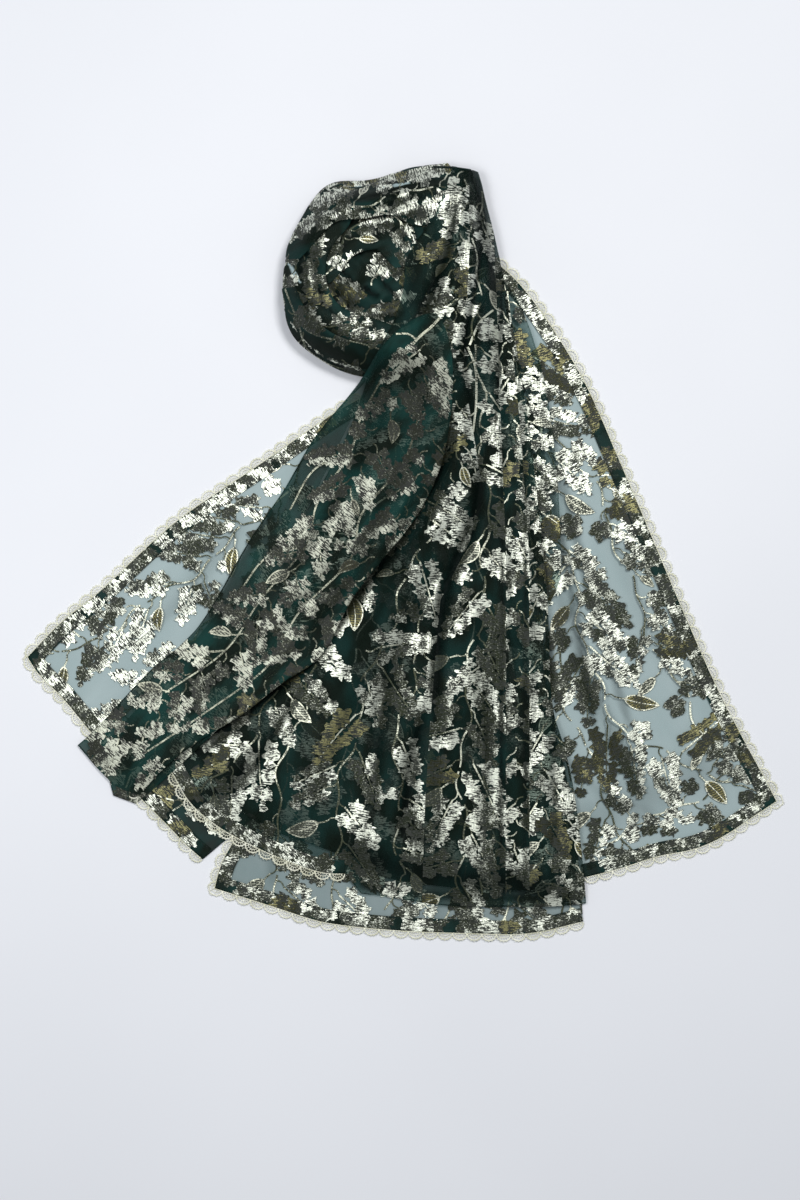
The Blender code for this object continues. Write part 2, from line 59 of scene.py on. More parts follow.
# ---------------------------------------------------------------------------------------------------
# The table and its light. A smooth pale table top under a large soft lamp high on the right, with an
# even pale room round it. The camera hangs straight above and looks down.
TABLE_SIDE = 9000.0
TABLE_TONE = (0.80, 0.815, 0.86, 1.0)
# The dimmer tone is painted shade, laid over the table in broad soft patches.
TABLE_TONE_DIM = (0.775, 0.79, 0.835, 1.0)
ROOM_TONE = (0.90, 0.95, 1.0, 1.0)
ROOM_STRENGTH = 0.32
CAMERA_PLACE = (-2.1, -45.8, 2400.0)
CAMERA_LENS = 72.0


class Lamp(NamedTuple):
    name: str
    place: tuple
    size: float
    power: float  # W
    tone: tuple


LAMPS = (
    Lamp("window_lamp", (800, 1140, 2690), 1000, 49, (1.0, 0.99, 0.97)),
    Lamp("side_lamp", (-655, 80, 1475), 700, 9.3, (1.0, 1.0, 1.0)),
)


class Value:
    """One output of a material's nodes. Arithmetic on it adds the Math nodes that work it out."""

    def __init__(self, tree, socket=None):
        self.tree = tree
        self.socket = socket

    def node(self, kind, settings=None, inputs=None, output=0):
        """Adds a node: its type, its settings, then the values or links of its sockets."""
        made = self.tree.nodes.new(kind)
        for name, value in (settings or {}).items():
            setattr(made, name, value)
        for key, value in (inputs or {}).items():
            if isinstance(value, Value):
                self.tree.links.new(value.socket, made.inputs[key])
            else:
                made.inputs[key].default_value = value
        return Value(self.tree, made.outputs[output] if made.outputs else None)

    def math(self, operation, *values):
        return self.node("ShaderNodeMath", {"operation": operation}, dict(enumerate(values)))

    def __add__(self, other):
        return self.math("ADD", self, other)

    __radd__ = __add__

    def __sub__(self, other):
        return self.math("SUBTRACT", self, other)

    def __rsub__(self, other):
        return self.math("SUBTRACT", other, self)

    def __mul__(self, other):
        return self.math("MULTIPLY", self, other)

    __rmul__ = __mul__

    def __rpow__(self, other):
        return self.math("POWER", other, self)

    def wave(self, period):
        """A sine of this length, from -1 to 1."""
        return self.math("SINE", self * (math.tau / period))

    def step(self, low, high):
        """0 below low, 1 above high, and a soft rise between."""
        settings = {"interpolation_type": "SMOOTHSTEP"}
        inputs = {"Value": self, "From Min": low, "From Max": high}
        return self.node("ShaderNodeMapRange", settings, inputs)

    def blend(self, colour, other):
        """One colour where this is 0, the other where it is 1."""
        inputs = {0: self, 6: colour, 7: other}
        return self.node("ShaderNodeMix", {"data_type": "RGBA"}, inputs, output=2)

    def noise(self, stretch, detail=2.0, roughness=0.5):
        """Noise over this vector, with features as long as stretch says along each axis."""
        per_unit = tuple(1 / length for length in stretch)
        place = self.node("ShaderNodeVectorMath", {"operation": "MULTIPLY"}, {0: self, 1: per_unit})
        inputs = {"Vector": place, "Scale": 1.0, "Detail": detail, "Roughness": roughness}
        return self.node("ShaderNodeTexNoise", {}, inputs)

    def bump(self, strength, distance):
        """A normal that this height tilts, with the distance in mm."""
        inputs = {"Height": self, "Strength": strength, "Distance": distance * MM}
        return self.node("ShaderNodeBump", {}, inputs)

    def surface(self, **inputs):
        """A Principled shader, with its sockets' names written with _ for a space."""
        named = {key.replace("_", " "): value for key, value in inputs.items()}
        return self.node("ShaderNodeBsdfPrincipled", {}, named)


def new_material(name):
    """An empty material, and a start for its nodes."""
    made = bpy.data.materials.new(name)
    made.use_nodes = True
    made.node_tree.nodes.clear()
    return made, Value(made.node_tree)


def close_material(made, shader):
    shader.node("ShaderNodeOutputMaterial", {}, {"Surface": shader})
    return made


def table_material():
    made, start = new_material("table_top")
    place = start.node("ShaderNodeTexCoord", output="Object")
    cloudy = place.noise((0.5, 0.5, 0.5), detail=3)
    grain = place.noise((0.002, 0.002, 0.002), detail=2)
    # Broad soft patches of painted shade: the tone dims where the large noise is high.
    return close_material(made, start.surface(
        Base_Color=cloudy.step(0.3, 0.7).blend(TABLE_TONE, TABLE_TONE_DIM),
        Roughness=0.62 + 0.06 * cloudy,
        Normal=grain.bump(0.08, 0.2),
    ))


def set_table():
    side = TABLE_SIDE * MM / 2
    corners = [(-side, -side, 0), (side, -side, 0), (side, side, 0), (-side, side, 0)]
    mesh = bpy.data.meshes.new("table_top")
    mesh.from_pydata(corners, [], [(0, 1, 2, 3)])
    mesh.materials.append(table_material())
    table = bpy.data.objects.new("table_top", mesh)
    bpy.context.scene.collection.objects.link(table)


def set_light():
    world = bpy.data.worlds.new("room")
    world.use_nodes = True
    room = world.node_tree.nodes["Background"].inputs
    room["Color"].default_value = ROOM_TONE
    room["Strength"].default_value = ROOM_STRENGTH
    bpy.context.scene.world = world
    for lamp in LAMPS:
        data = bpy.data.lights.new(lamp.name, "AREA")
        data.shape = "DISK"
        data.size = lamp.size * MM
        data.energy = lamp.power
        data.color = lamp.tone
        made = bpy.data.objects.new(lamp.name, data)
        made.location = Vector(lamp.place) * MM
        made.rotation_euler = (-made.location).to_track_quat("-Z", "Y").to_euler()
        bpy.context.scene.collection.objects.link(made)
    bpy.context.scene.view_settings.view_transform = "Standard"


def set_camera():
    data = bpy.data.cameras.new("camera")
    data.lens = CAMERA_LENS
    data.clip_end = 50
    made = bpy.data.objects.new("camera", data)
    made.location = Vector(CAMERA_PLACE) * MM
    bpy.context.scene.collection.objects.link(made)
    bpy.context.scene.camera = made


set_table()
set_light()
set_camera()


# ---------------------------------------------------------------------------------------------------
# How the cloth lies. One long length of organza is gathered, coiled and fanned out, so each stretch
# lies on the ones laid before it. A stretch takes its place and height from its solid, is smoothed as
# cloth smooths itself, gets its own creases, and is kept above everything already laid.
GRID = 2.0  # between two samples of a height
MARGIN = 24.0  # of the grid round the object
PLY_GAP = 0.45  # from one stretch to the next
SOFTNESS = 6.0  # how far a stretch smooths itself
SETTLING = 1.6  # how far it smooths itself again, over each thing that it rests on
FINE_WAVES = (0.4, 2.3, 1.7)  # their share of a wave's height, and how much narrower and shorter they are
CREASE_FADE = 8  # a crease rises over one part in this many of its length, at either end
LEAST_PLIES = 0.6
SLOPE_PLIES = 0.6  # the most that a steep side deepens a fold, and so darkens it with painted shade
EDGE_STEP = 2.6  # between points of a cut edge
CORNER = math.radians(38)  # a sharper turn of an edge is a corner
SIDEWAYS = 0.02  # a triangle with less of its normal than this along z is a side
grid_x = np.arange(cad_box[0].x / MM - MARGIN, cad_box[1].x / MM + MARGIN, GRID)
grid_y = np.arange(cad_box[0].y / MM - MARGIN, cad_box[1].y / MM + MARGIN, GRID)
GX, GY = np.meshgrid(grid_x, grid_y)
laid = np.zeros(GX.shape)  # the height of all that is laid so far


class Crease(NamedTuple):
    path: tuple  # along its crest
    width: tuple  # from the crest to its foot, on its left and on its right
    height: tuple  # at its start, halfway and at its end; below 0 in a trough
    plies: float = 0.0  # that it adds along its crest; through the folds these paint shade on the cloth and dull its floats, and below 0 they paint a thin flap pale as if lit from behind


def solid_faces(node):
    """The upper triangles of a solid: their corners, and the same corners numbered."""
    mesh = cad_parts[node].data
    mesh.calc_loop_triangles()
    corners = np.empty(len(mesh.vertices) * 3)
    mesh.vertices.foreach_get("co", corners)
    corners = corners.reshape(-1, 3) / MM
    faces = np.empty(len(mesh.loop_triangles) * 3, int)
    mesh.loop_triangles.foreach_get("vertices", faces)
    triangles = corners[faces.reshape(-1, 3)]
    normal = np.cross(triangles[:, 1] - triangles[:, 0], triangles[:, 2] - triangles[:, 0])
    triangles = triangles[normal[:, 2] > SIDEWAYS * np.linalg.norm(normal, axis=1)]
    _, number = np.unique(np.round(triangles.reshape(-1, 3), 2), axis=0, return_inverse=True)
    return triangles, number.reshape(-1, 3)


def solid_top(triangles):
    """The solid's upper side as heights on the grid. Where it has none they are nan."""
    height = np.full(GX.shape, np.nan)
    for a, b, c in triangles:
        low = np.minimum(np.minimum(a, b), c)
        high = np.maximum(np.maximum(a, b), c)
        i = slice(np.searchsorted(grid_y, low[1]), np.searchsorted(grid_y, high[1], "right"))
        j = slice(np.searchsorted(grid_x, low[0]), np.searchsorted(grid_x, high[0], "right"))
        x, y = GX[i, j] - a[0], GY[i, j] - a[1]
        u, v = b - a, c - a
        area = u[0] * v[1] - u[1] * v[0]
        s = (x * v[1] - y * v[0]) / area
        t = (y * u[0] - x * u[1]) / area
        inside = (s >= -1e-6) & (t >= -1e-6) & (s + t <= 1 + 1e-6)
        height[i, j][inside] = (a[2] + s * u[2] + t * v[2])[inside]
    return height


def solid_edge(triangles, numbers):
    """The solid's outline in plan, as one loop: the sides that only one upper triangle has."""
    place, sides = {}, set()
    for corners, triangle in zip(triangles, numbers.tolist()):
        for k in range(3):
            start, end = triangle[k], triangle[(k + 1) % 3]
            place[start] = corners[k][:2]
            if (end, start) in sides:
                sides.remove((end, start))
            else:
                sides.add((start, end))
    follows = {}
    for start, end in sorted(sides):
        follows.setdefault(start, []).append(end)
    loops = []
    while follows:
        loop = [min(follows)]
        while loop[-1] in follows:
            after = follows[loop[-1]].pop()
            if not follows[loop[-1]]:
                del follows[loop[-1]]
            if after in loop:
                first = loop.index(after)
                loops.append(loop[first:])
                loop = loop[:first]
            loop.append(after)
    return np.array([place[k] for k in max(loops, key=len)])


def run_length(path):
    return np.concatenate([[0], np.cumsum(np.linalg.norm(np.diff(path, axis=0), axis=1))])


def resampled(path, step):
    run = run_length(path)
    at = np.linspace(0, run[-1], max(2, round(run[-1] / step)) + 1)
    return np.column_stack([np.interp(at, run, path[:, k]) for k in range(2)])


def rounded_edge(loop):
    """A loop with a point every few mm, rounded but for its corners."""
    ahead = np.roll(loop, -1, axis=0) - loop
    angle = np.arctan2(ahead[:, 1], ahead[:, 0])
    turn = np.abs((angle - np.roll(angle, 1) + math.pi) % math.tau - math.pi)
    corners = np.flatnonzero(turn > CORNER)
    if not len(corners):
        corners = np.array([0])
    closed = np.vstack([loop, loop])
    pieces = []
    for first, last in zip(corners, [*corners[1:], corners[0] + len(loop)]):
        side = resampled(closed[first:last + 1], EDGE_STEP)
        for _ in range(10):
            side[1:-1] = (side[:-2] + 2 * side[1:-1] + side[2:]) / 4
        pieces.append(side[:-1])
    return np.vstack(pieces)


def blurred(height, spread):
    """Heights evened out over a spread, and carried a little past their outline."""
    reach = int(3 * spread / GRID)
    kernel = np.exp(-0.5 * (np.arange(-reach, reach + 1) * GRID / spread) ** 2)
    kernel /= kernel.sum()
    known = np.isfinite(height)
    total, weight = np.where(known, height, 0.0), known.astype(float)
    for axis in (0, 1):
        total = sum(k * np.roll(total, i - reach, axis) for i, k in enumerate(kernel))
        weight = sum(k * np.roll(weight, i - reach, axis) for i, k in enumerate(kernel))
    return np.where(weight > 1e-3, total / np.maximum(weight, 1e-3), 0.0)


def curve_through(points, step=5.0):
    """A smooth curve through a few given points."""
    p = np.array(points, float)
    p = np.vstack([2 * p[0] - p[1], p, 2 * p[-1] - p[-2]])
    fine = []
    for a, b, c, d in zip(p, p[1:], p[2:], p[3:]):
        t = np.linspace(0, 1, 16, endpoint=False)[:, None]
        fine.append(b + 0.5 * t * (c - a + t * (2 * a - 5 * b + 4 * c - d + t * (3 * (b - c) + d - a))))
    return resampled(np.vstack(fine + [p[-2:-1]]), step)


def beside(x, y, path):
    """How far places lie from a path, below 0 on its right, and how far along it, from 0 to 1."""
    best = np.full(np.shape(x), np.inf)
    side = np.zeros(np.shape(x))
    along = np.zeros(np.shape(x))
    run = run_length(path)
    for (ax, ay), (bx, by), start in zip(path, path[1:], run):
        dx, dy = bx - ax, by - ay
        span = math.hypot(dx, dy)
        t = np.clip(((x - ax) * dx + (y - ay) * dy) / span**2, 0, 1)
        away = np.hypot(x - ax - t * dx, y - ay - t * dy)
        nearer = away < best
        best = np.where(nearer, away, best)
        side = np.where(nearer, np.sign(dx * (y - ay) - dy * (x - ax)), side)
        along = np.where(nearer, (start + t * span) / run[-1], along)
    return best * side, along


def creased(height, plies, creases):
    """Adds creases to heights, and their plies to how many there are."""
    for crease in creases:
        path = curve_through(crease.path)
        reach = max(crease.width)
        i = slice(*np.searchsorted(grid_y, (path[:, 1].min() - reach, path[:, 1].max() + reach)))
        j = slice(*np.searchsorted(grid_x, (path[:, 0].min() - reach, path[:, 0].max() + reach)))
        away, along = beside(GX[i, j], GY[i, j], path)
        width = np.where(away > 0, *crease.width)
        shape = np.cos(np.clip(np.abs(away) / width, 0, 1) * math.pi / 2) ** 2
        ends = np.clip(np.minimum(along, 1 - along) * CREASE_FADE, 0, 1)
        height[i, j] += shape * np.interp(along, (0, 0.5, 1), crease.height) * ends
        plies[i, j] += shape**2 * crease.plies * ends


def ripple(u, v, seed):
    """Smooth waves from -1 to 1, about one for every two steps of u and v."""
    size = 64
    lattice = np.random.default_rng(seed).uniform(-1, 1, (size, size))
    i, j = np.floor(u).astype(int), np.floor(v).astype(int)
    s, t = u - i, v - j
    s, t = s * s * (3 - 2 * s), t * t * (3 - 2 * t)
    near = (1 - s) * lattice[i % size, j % size] + s * lattice[(i + 1) % size, j % size]
    far = (1 - s) * lattice[i % size, (j + 1) % size] + s * lattice[(i + 1) % size, (j + 1) % size]
    return (1 - t) * near + t * far


class Lie(NamedTuple):
    """How a stretch lies. All but its first three fields are values on the grid."""
    node: str  # the solid that it follows
    grain: float  # the way of its warp, in degrees
    edge: np.ndarray  # its outline in plan
    height: np.ndarray
    plies: np.ndarray  # how many a look straight down passes, with more on a steep side
    deep: np.ndarray  # how many of them its folds and its steep sides add; these set the painted shade of folds and steep sides
    covered: np.ndarray  # where it lies
    under: np.ndarray  # the height of what it lies on


def lay_stretch(node, creases=(), plies=1.0, grain=0.0, waves=(0.5, 9, 70), seed=1):
    """Lays a stretch on what is laid already. Its waves have a height, a width and a length, and run
    along its grain."""
    triangles, numbers = solid_faces(node)
    top = solid_top(triangles)
    height = blurred(top, SOFTNESS)
    count = np.full(GX.shape, float(plies))
    creased(height, count, creases)
    turn = math.radians(grain)
    along = GX * math.cos(turn) + GY * math.sin(turn)
    across = GY * math.cos(turn) - GX * math.sin(turn)
    rise, width, length = waves
    share, narrower, shorter = FINE_WAVES
    height += rise * ripple(across / width, along / length, seed)
    height += rise * share * ripple(across / width * narrower, along / length * shorter, seed + 1)
    for _ in range(2):
        height = np.maximum(height, laid + PLY_GAP)
        height = blurred(height, SETTLING)
    height = np.maximum(height, laid + PLY_GAP)
    more = np.sqrt(1 + np.hypot(*np.gradient(height, GRID)) ** 2)
    # Folds and steep sides count as deeper here, which later paints them darker.
    deep = count - plies + np.minimum(plies * (more - 1), SLOPE_PLIES)
    count = np.maximum(count, LEAST_PLIES) * more
    covered = np.isfinite(top)
    under = laid.copy()
    laid[covered] = np.maximum(laid, height)[covered]
    edge = rounded_edge(solid_edge(triangles, numbers))
    return Lie(node, grain, edge, height, count, deep, covered, under)


def sampled(grid, x, y):
    """The values of a grid at places between its samples."""
    i = np.clip((y - grid_y[0]) / GRID, 0, len(grid_y) - 1.001)
    j = np.clip((x - grid_x[0]) / GRID, 0, len(grid_x) - 1.001)
    i0, j0 = i.astype(int), j.astype(int)
    s, t = i - i0, j - j0
    low = (1 - t) * grid[i0, j0] + t * grid[i0, j0 + 1]
    high = (1 - t) * grid[i0 + 1, j0] + t * grid[i0 + 1, j0 + 1]
    return (1 - s) * low + s * high


# ---------------------------------------------------------------------------------------------------
# The brocade. Flat metal thread floats on the organza in a running vine: thin forking stems, pointed
# leaves with a bright rim and a netted fill, plumes of ragged lobes and small blossoms. The weft breaks
# each float into short streaks. The shapes are woven in: they are faces of the cloth itself.
STEM, RIM, PETAL, GOLD, NET, OLIVE = range(6)
FRINGE = 1.5  # how far thread ends stand out of a floret along the weft
STALK = 1.7  # width of the stalk inside a motif
TWIG = (10.0, 1.4)  # length and width of the twig from a stem to a motif
LEAF_STALK = 0.2  # share of a leaf's length
LEAF_RIM = 1.3  # width of the rim round its fill
LEAST_FILL = 0.6
WANDER = ((4.5, 17), (2.5, 7.3))  # how far a stem sways, and over what length
VINE_TURNS = ("plume", "plume", "leaf", "plume", "blossom", "plume", "plume")
VINE_TRIES = ((1, 1), (1, 0.85), (-1, 0.9), (-1, 0.72), (1, 0.6))  # side and size, till one has room


class Woven(NamedTuple):
    outline: np.ndarray
    kind: int
    glint: float  # its painted highlight: how much light its thread is painted as throwing back, 0 to 1
    panel: int = 0  # the part of the cloth between two folds that it is in; 0 is anywhere


def placed(points, x, y, angle):
    """Points drawn along +x, turned and moved into place."""
    turn = math.radians(angle)
    c, s = math.cos(turn), math.sin(turn)
    along, across = np.asarray(points).T
    return np.column_stack([x + c * along - s * across, y + s * along + c * across])


def ribbon(path, width, end=0.6):
    """A stem along a path, thinner at its end."""
    run = np.gradient(path, axis=0)
    run /= np.linalg.norm(run, axis=1)[:, None]
    across = np.column_stack([-run[:, 1], run[:, 0]]) * (np.linspace(1, end, len(path)) * width / 2)[:, None]
    return np.vstack([path + across, (path - across)[::-1]])


class Brocade:
    """The floats of one stretch, or of one panel of it, and the room that they take."""

    def __init__(self, seed, grain, panel=0, unlit=0.25, shy=0.8, gold=0.11):
        self.draw = np.random.default_rng(seed)
        self.weft = np.array([math.sin(math.radians(grain)), -math.cos(math.radians(grain))])
        self.panel = panel
        self.shy = shy  # motifs keep this share of their reach from each other
        self.unlit = unlit  # the share of motifs painted as in shade, throwing back little light
        self.gold = gold  # the share of them in gold thread
        self.lift = 0.0  # painted highlight added to their glint on a steep turn, which the lamps light little
        self.shapes = []
        self.taken = np.zeros((0, 3))

    def add(self, points, x, y, angle, kind, glint):
        outline = placed(points, x, y, angle)
        if kind in (PETAL, GOLD):
            outline += self.draw.uniform(-FRINGE, FRINGE, (len(outline), 1)) * self.weft
        glint = float(np.clip(glint, -0.2, 1.1)) + self.lift
        self.shapes.append(Woven(outline, kind, glint, self.panel))

    def stem(self, line, width, glint):
        self.shapes.append(Woven(ribbon(line, width, 0.8), STEM, glint, self.panel))

    # A painted glint for a motif: in shade, half lit or fully lit.
    def level(self):
        bright = (1 - self.unlit) / 2
        return self.draw.choice([0.12, 0.55, 1.0], p=[self.unlit, bright, bright])

    def finds_room(self, x, y, angle, length, reach):
        """Takes the room of a motif, if nothing is there."""
        spots = placed([(length * t, 0) for t in (0.3, 0.62, 0.9)], x, y, angle)
        circles = np.column_stack([spots, [reach, reach, reach * 0.7]])
        away = np.linalg.norm(circles[:, None, :2] - self.taken[None, :, :2], axis=2)
        if (away < self.shy * (circles[:, None, 2] + self.taken[None, :, 2])).any():
            return False
        self.taken = np.vstack([self.taken, circles])
        return True

    def lobe(self, length, width, points=14):
        """A petal from its foot along +x, with uneven thread ends round it."""
        turn = np.linspace(0, math.tau, points, endpoint=False)
        x = length / 2 * (1 - np.cos(turn))
        y = width / 2 * np.sin(turn) * (0.7 + 0.6 * x / length)
        out = 1 + self.draw.uniform(-0.22, 0.12, points)
        return np.column_stack([length / 2 + (x - length / 2) * out, y * out])

    def floret(self, size, points=18):
        """A small flower seen from in front, of uneven petals."""
        turn = np.linspace(0, math.tau, points, endpoint=False)
        petals = 1 + 0.26 * np.cos(self.draw.integers(4, 6) * turn + self.draw.uniform(0, 6))
        out = size / 2 * petals * self.draw.uniform(0.85, 1.15, points)
        return np.column_stack([out * np.cos(turn), out * np.sin(turn)])

    def leaf(self, x, y, angle, length):
        """A pointed leaf on a stalk, with a rim and a midrib round its fill."""
        width = length * self.draw.uniform(0.32, 0.4)
        bend = self.draw.uniform(-0.12, 0.12) * length

        def half_at(t, inset, least):
            """Where a half of the leaf runs, the line of its midrib, and how far out it reaches."""
            reach = np.maximum(np.sin(math.pi * t**0.85) ** 0.8 * width / 2 - inset, least)
            return length * (LEAF_STALK + (1 - LEAF_STALK) * t), bend * np.sin(math.pi * t), reach

        glint = self.draw.uniform(0.3, 0.9)
        fill = OLIVE if self.draw.random() < 0.3 else NET
        stem = np.column_stack([np.linspace(0, length * (LEAF_STALK + 0.05), 4), np.zeros(4)])
        self.add(ribbon(stem, STALK), x, y, angle, STEM, glint)
        along, spine, reach = half_at(np.linspace(0, 1, 13), 0, 0)
        near, far = (np.column_stack([along, spine + side * reach]) for side in (1, -1))
        self.add(np.vstack([near[:-1], far[:0:-1]]), x, y, angle, RIM, glint + 0.1)
        along, spine, reach = half_at(np.linspace(0.1, 0.88, 9), LEAF_RIM, LEAST_FILL)
        for side in (1, -1):
            near, far = (np.column_stack([along, spine + side * out]) for out in (0.45, reach))
            self.add(np.vstack([near, far[::-1]]), x, y, angle, fill, glint * 0.8)

    def plume(self, x, y, angle, length):
        """Pairs of florets up a stalk, the largest near its foot, and one at its tip."""
        pairs = max(3, round(length / 9))
        bend = self.draw.uniform(-7, 7)
        level, lit = self.level(), self.draw.uniform(0, 0.45)
        kind = GOLD if self.draw.random() < self.gold else PETAL
        t = np.linspace(0, 1, 8)
        self.add(ribbon(np.column_stack([length * t, bend * t**2]), STALK), x, y, angle, STEM, level)
        for k in range(pairs):
            for side in (1, -1):
                at = 0.14 + 0.72 * (k + self.draw.uniform(-0.3, 0.3)) / (pairs - 1)
                size = (10.5 + 0.06 * length - 5 * at) * self.draw.uniform(0.8, 1.25)
                away = side * length * (0.19 - 0.13 * at) * self.draw.uniform(0.75, 1.15)
                floret = placed(self.floret(size), at * length, bend * at**2 + away, 0)
                # Painted highlight: one side of a plume is painted more lit than the other.
                glint = level + side * lit + self.draw.uniform(-0.25, 0.25)
                self.add(floret, x, y, angle, kind, glint)
        tip = self.lobe(length * 0.18, length * 0.13)
        tip = placed(tip, length * 0.9, bend * 0.8, self.draw.uniform(-12, 12))
        self.add(tip, x, y, angle, kind, level)

    def blossom(self, x, y, angle, size):
        """Five ragged petals round a small eye."""
        level = self.level()
        ahead = math.radians(angle)
        x, y = x + size * 0.4 * math.cos(ahead), y + size * 0.4 * math.sin(ahead)
        for k in range(5):
            petal = placed(self.lobe(size * 0.5, size * 0.4), 1.4, 0, 72 * k + self.draw.uniform(-9, 9))
            self.add(petal, x, y, angle, PETAL, level + self.draw.uniform(-0.25, 0.25))

    def motif(self, x, y, angle, kind, size):
        """Adds a motif on a short curved twig, if there is room for it."""
        lengths = {"plume": self.draw.uniform(40, 58), "leaf": self.draw.uniform(32, 44), "blossom": 24}
        length = size * lengths[kind]
        reach = length * {"plume": 0.24, "leaf": 0.15, "blossom": 0.42}[kind]
        if not self.finds_room(x, y, angle, length + 0.9 * TWIG[0], reach):
            return False
        t = np.linspace(0, 1, 5)
        bent = np.column_stack([TWIG[0] * t, self.draw.choice([-2, 2]) * np.sin(math.pi * t)])
        twig = placed(bent, x, y, angle)
        self.stem(twig, TWIG[1], self.draw.uniform(-0.3, 0.45))
        getattr(self, kind)(*twig[-1], angle, length)
        return True

    def vine(self, path, spacing=22.0, size=1.15, stem=1.9):
        """A wandering stem along a path that throws out motifs to alternate sides where there is room.
        It comes and goes as its thread sinks into the weave."""
        draw = self.draw
        line = curve_through(path, step=4.0)
        run = run_length(line)
        heading = np.gradient(line, axis=0)
        heading /= np.linalg.norm(heading, axis=1)[:, None]
        sway = sum(reach * np.sin(run / length + draw.uniform(0, 6)) for reach, length in WANDER)
        line = line + sway[:, None] * np.column_stack([-heading[:, 1], heading[:, 0]])
        first = 0
        while stem and first < len(line) - 3:
            last = first + draw.integers(5, 12)
            self.stem(line[first:last + 1], stem, draw.uniform(-0.3, 0.8))
            first = last + draw.integers(0, 3)
        at, side, turn = draw.uniform(4, 12), draw.choice([-1, 1]), draw.integers(0, len(VINE_TURNS))
        while at < run[-1]:
            x, y = (np.interp(at, run, line[:, k]) for k in range(2))
            dx, dy = (np.interp(at, run, heading[:, k]) for k in range(2))
            ahead = math.degrees(math.atan2(dy, dx))
            kind = VINE_TURNS[turn % len(VINE_TURNS)]
            for way, scale in VINE_TRIES:
                angle = ahead + side * way * draw.uniform(28, 72)
                if self.motif(x, y, angle, kind, size * scale):
                    break
            at += size * spacing * draw.uniform(0.5, 0.85)
            side, turn = -side, turn + 1
        ahead = math.degrees(math.atan2(heading[-1, 1], heading[-1, 0]))
        self.motif(*line[-1], ahead, "plume", size)
        return self

    def scraps(self, path, size=0.7, share=0.42):
        """Bits of plumes along a band, turned every way, as where a hem turns the pattern over."""
        for x, y in curve_through(path, step=9.0):
            if self.draw.random() < share:
                angle = self.draw.uniform(0, 360)
                length = size * self.draw.uniform(30, 46)
                back, ahead = 0.45 * length, math.radians(angle)
                self.plume(x - back * math.cos(ahead), y - back * math.sin(ahead), angle, length)
        return self


def near_points(x, y, points, reach):
    """Which of the places lie within reach of any point."""
    fine, margin = 0.5, 4
    low = points.min(axis=0) - margin
    size = np.ceil((points.max(axis=0) + margin - low) / fine).astype(int) + 1
    taken = np.zeros(size, bool)
    at = ((points - low) / fine).astype(int)
    span = int(reach / fine)
    for i in range(-span, span + 1):
        for j in range(-span, span + 1):
            if math.hypot(i, j) <= span:
                taken[tuple(np.clip(at + (i, j), 0, size - 1).T)] = True
    places = (np.column_stack([x, y]) - low) / fine
    return taken[tuple(np.clip(places, 0, size - 1).astype(int).T)]


def within(x, y, loop):
    """Which places lie inside a loop."""
    inside = np.zeros(len(x), bool)
    for (ax, ay), (bx, by) in zip(loop, np.roll(loop, -1, axis=0)):
        rows = np.flatnonzero((ay > y) != (by > y))
        inside[rows] ^= x[rows] < ax + (y[rows] - ay) * (bx - ax) / (by - ay)
    return inside


def sides_of(numbers):
    """The ends of the sides that only one triangle has, in its order."""
    starts, ends = numbers.ravel(), np.roll(numbers, -1, axis=1).ravel()
    codes = starts * (numbers.max() + 1) + ends
    alone = ~np.isin(codes, ends * (numbers.max() + 1) + starts)
    return starts[alone], ends[alone]


def floats_at(x, y, shapes, panels):
    """The kind and the glint of the float at each place, -1 for the ground."""
    kinds, glints = np.full(len(x), -1), np.zeros(len(x))
    in_panel = [within(x, y, panel) for panel in panels]
    for shape in sorted(shapes, key=lambda shape: shape.kind):
        low, high = shape.outline.min(axis=0), shape.outline.max(axis=0)
        near = np.flatnonzero((x > low[0]) & (x < high[0]) & (y > low[1]) & (y < high[1]))
        if shape.panel:
            near = near[in_panel[shape.panel - 1][near]]
        near = near[within(x[near], y[near], shape.outline)]
        kinds[near], glints[near] = shape.kind, shape.glint
    return kinds, glints


ROW_SHARE = 0.866  # of a step, between two rows of even triangles
LEAST_SIDE = 1.6  # a cloth that ends higher than this over what it lies on comes down to it
FOOT_GAP = 0.3  # from the foot of such a side to what it stands on
SIDE_ROWS = 9
SIDE_BANDS = 3  # wound layers that show on a high side
SIDE_SWELL = 2.4  # how far each of them stands out
HIGH_SIDE = (8.0, 28.0)  # the height where they begin to swell, and where they do so fully
TUCK = (0.42, 8.0)  # how far in its foot is for each mm of height, and the most that counts
GLINT_OF_SLOPE = (0.9, 0.4)  # painted highlight: brighter where the cloth tilts to the window, and the most that counts
GLINT_LOST_IN_FOLDS = (0.3, 1.5)  # painted shade: duller for each extra ply of a fold, and the most that count
FOLD_PLIES = 2.0  # the extra plies of a fold at which its painted shade is deepest


def cut_cloth(edge, panels, outlines, step):
    """Cuts a stretch into small triangles that no outline crosses. Gives its points in plan, and the
    numbers of the three that each triangle joins."""
    lines, sides, count = [], [], 0
    for outline in [edge, *panels, *outlines]:
        number = np.arange(len(outline))
        lines.append(outline)
        sides.append(np.column_stack([number, np.roll(number, -1)]) + count)
        count += len(outline)
    fixed, sides = np.vstack(lines), np.vstack(sides).tolist()
    low, high = edge.min(axis=0), edge.max(axis=0)
    rows = np.arange(low[1], high[1], step * ROW_SHARE)
    x, y = np.meshgrid(np.arange(low[0], high[0], step), rows)
    x = (x + (np.arange(len(rows)) % 2)[:, None] * step / 2).ravel()
    y = y.ravel()
    free = ~near_points(x, y, fixed, step * 0.45)
    every = np.vstack([fixed, np.column_stack([x[free], y[free]])])
    plan, _, numbers, *_ = delaunay_2d_cdt([Vector(p) for p in every], sides, [], 0, 1e-4)
    plan, numbers = np.array([tuple(p) for p in plan]), np.array(numbers)
    numbers = numbers[within(*plan[numbers].mean(axis=1).T, edge)]
    used, numbers = np.unique(numbers, return_inverse=True)
    return plan[used], numbers.reshape(-1, 3)


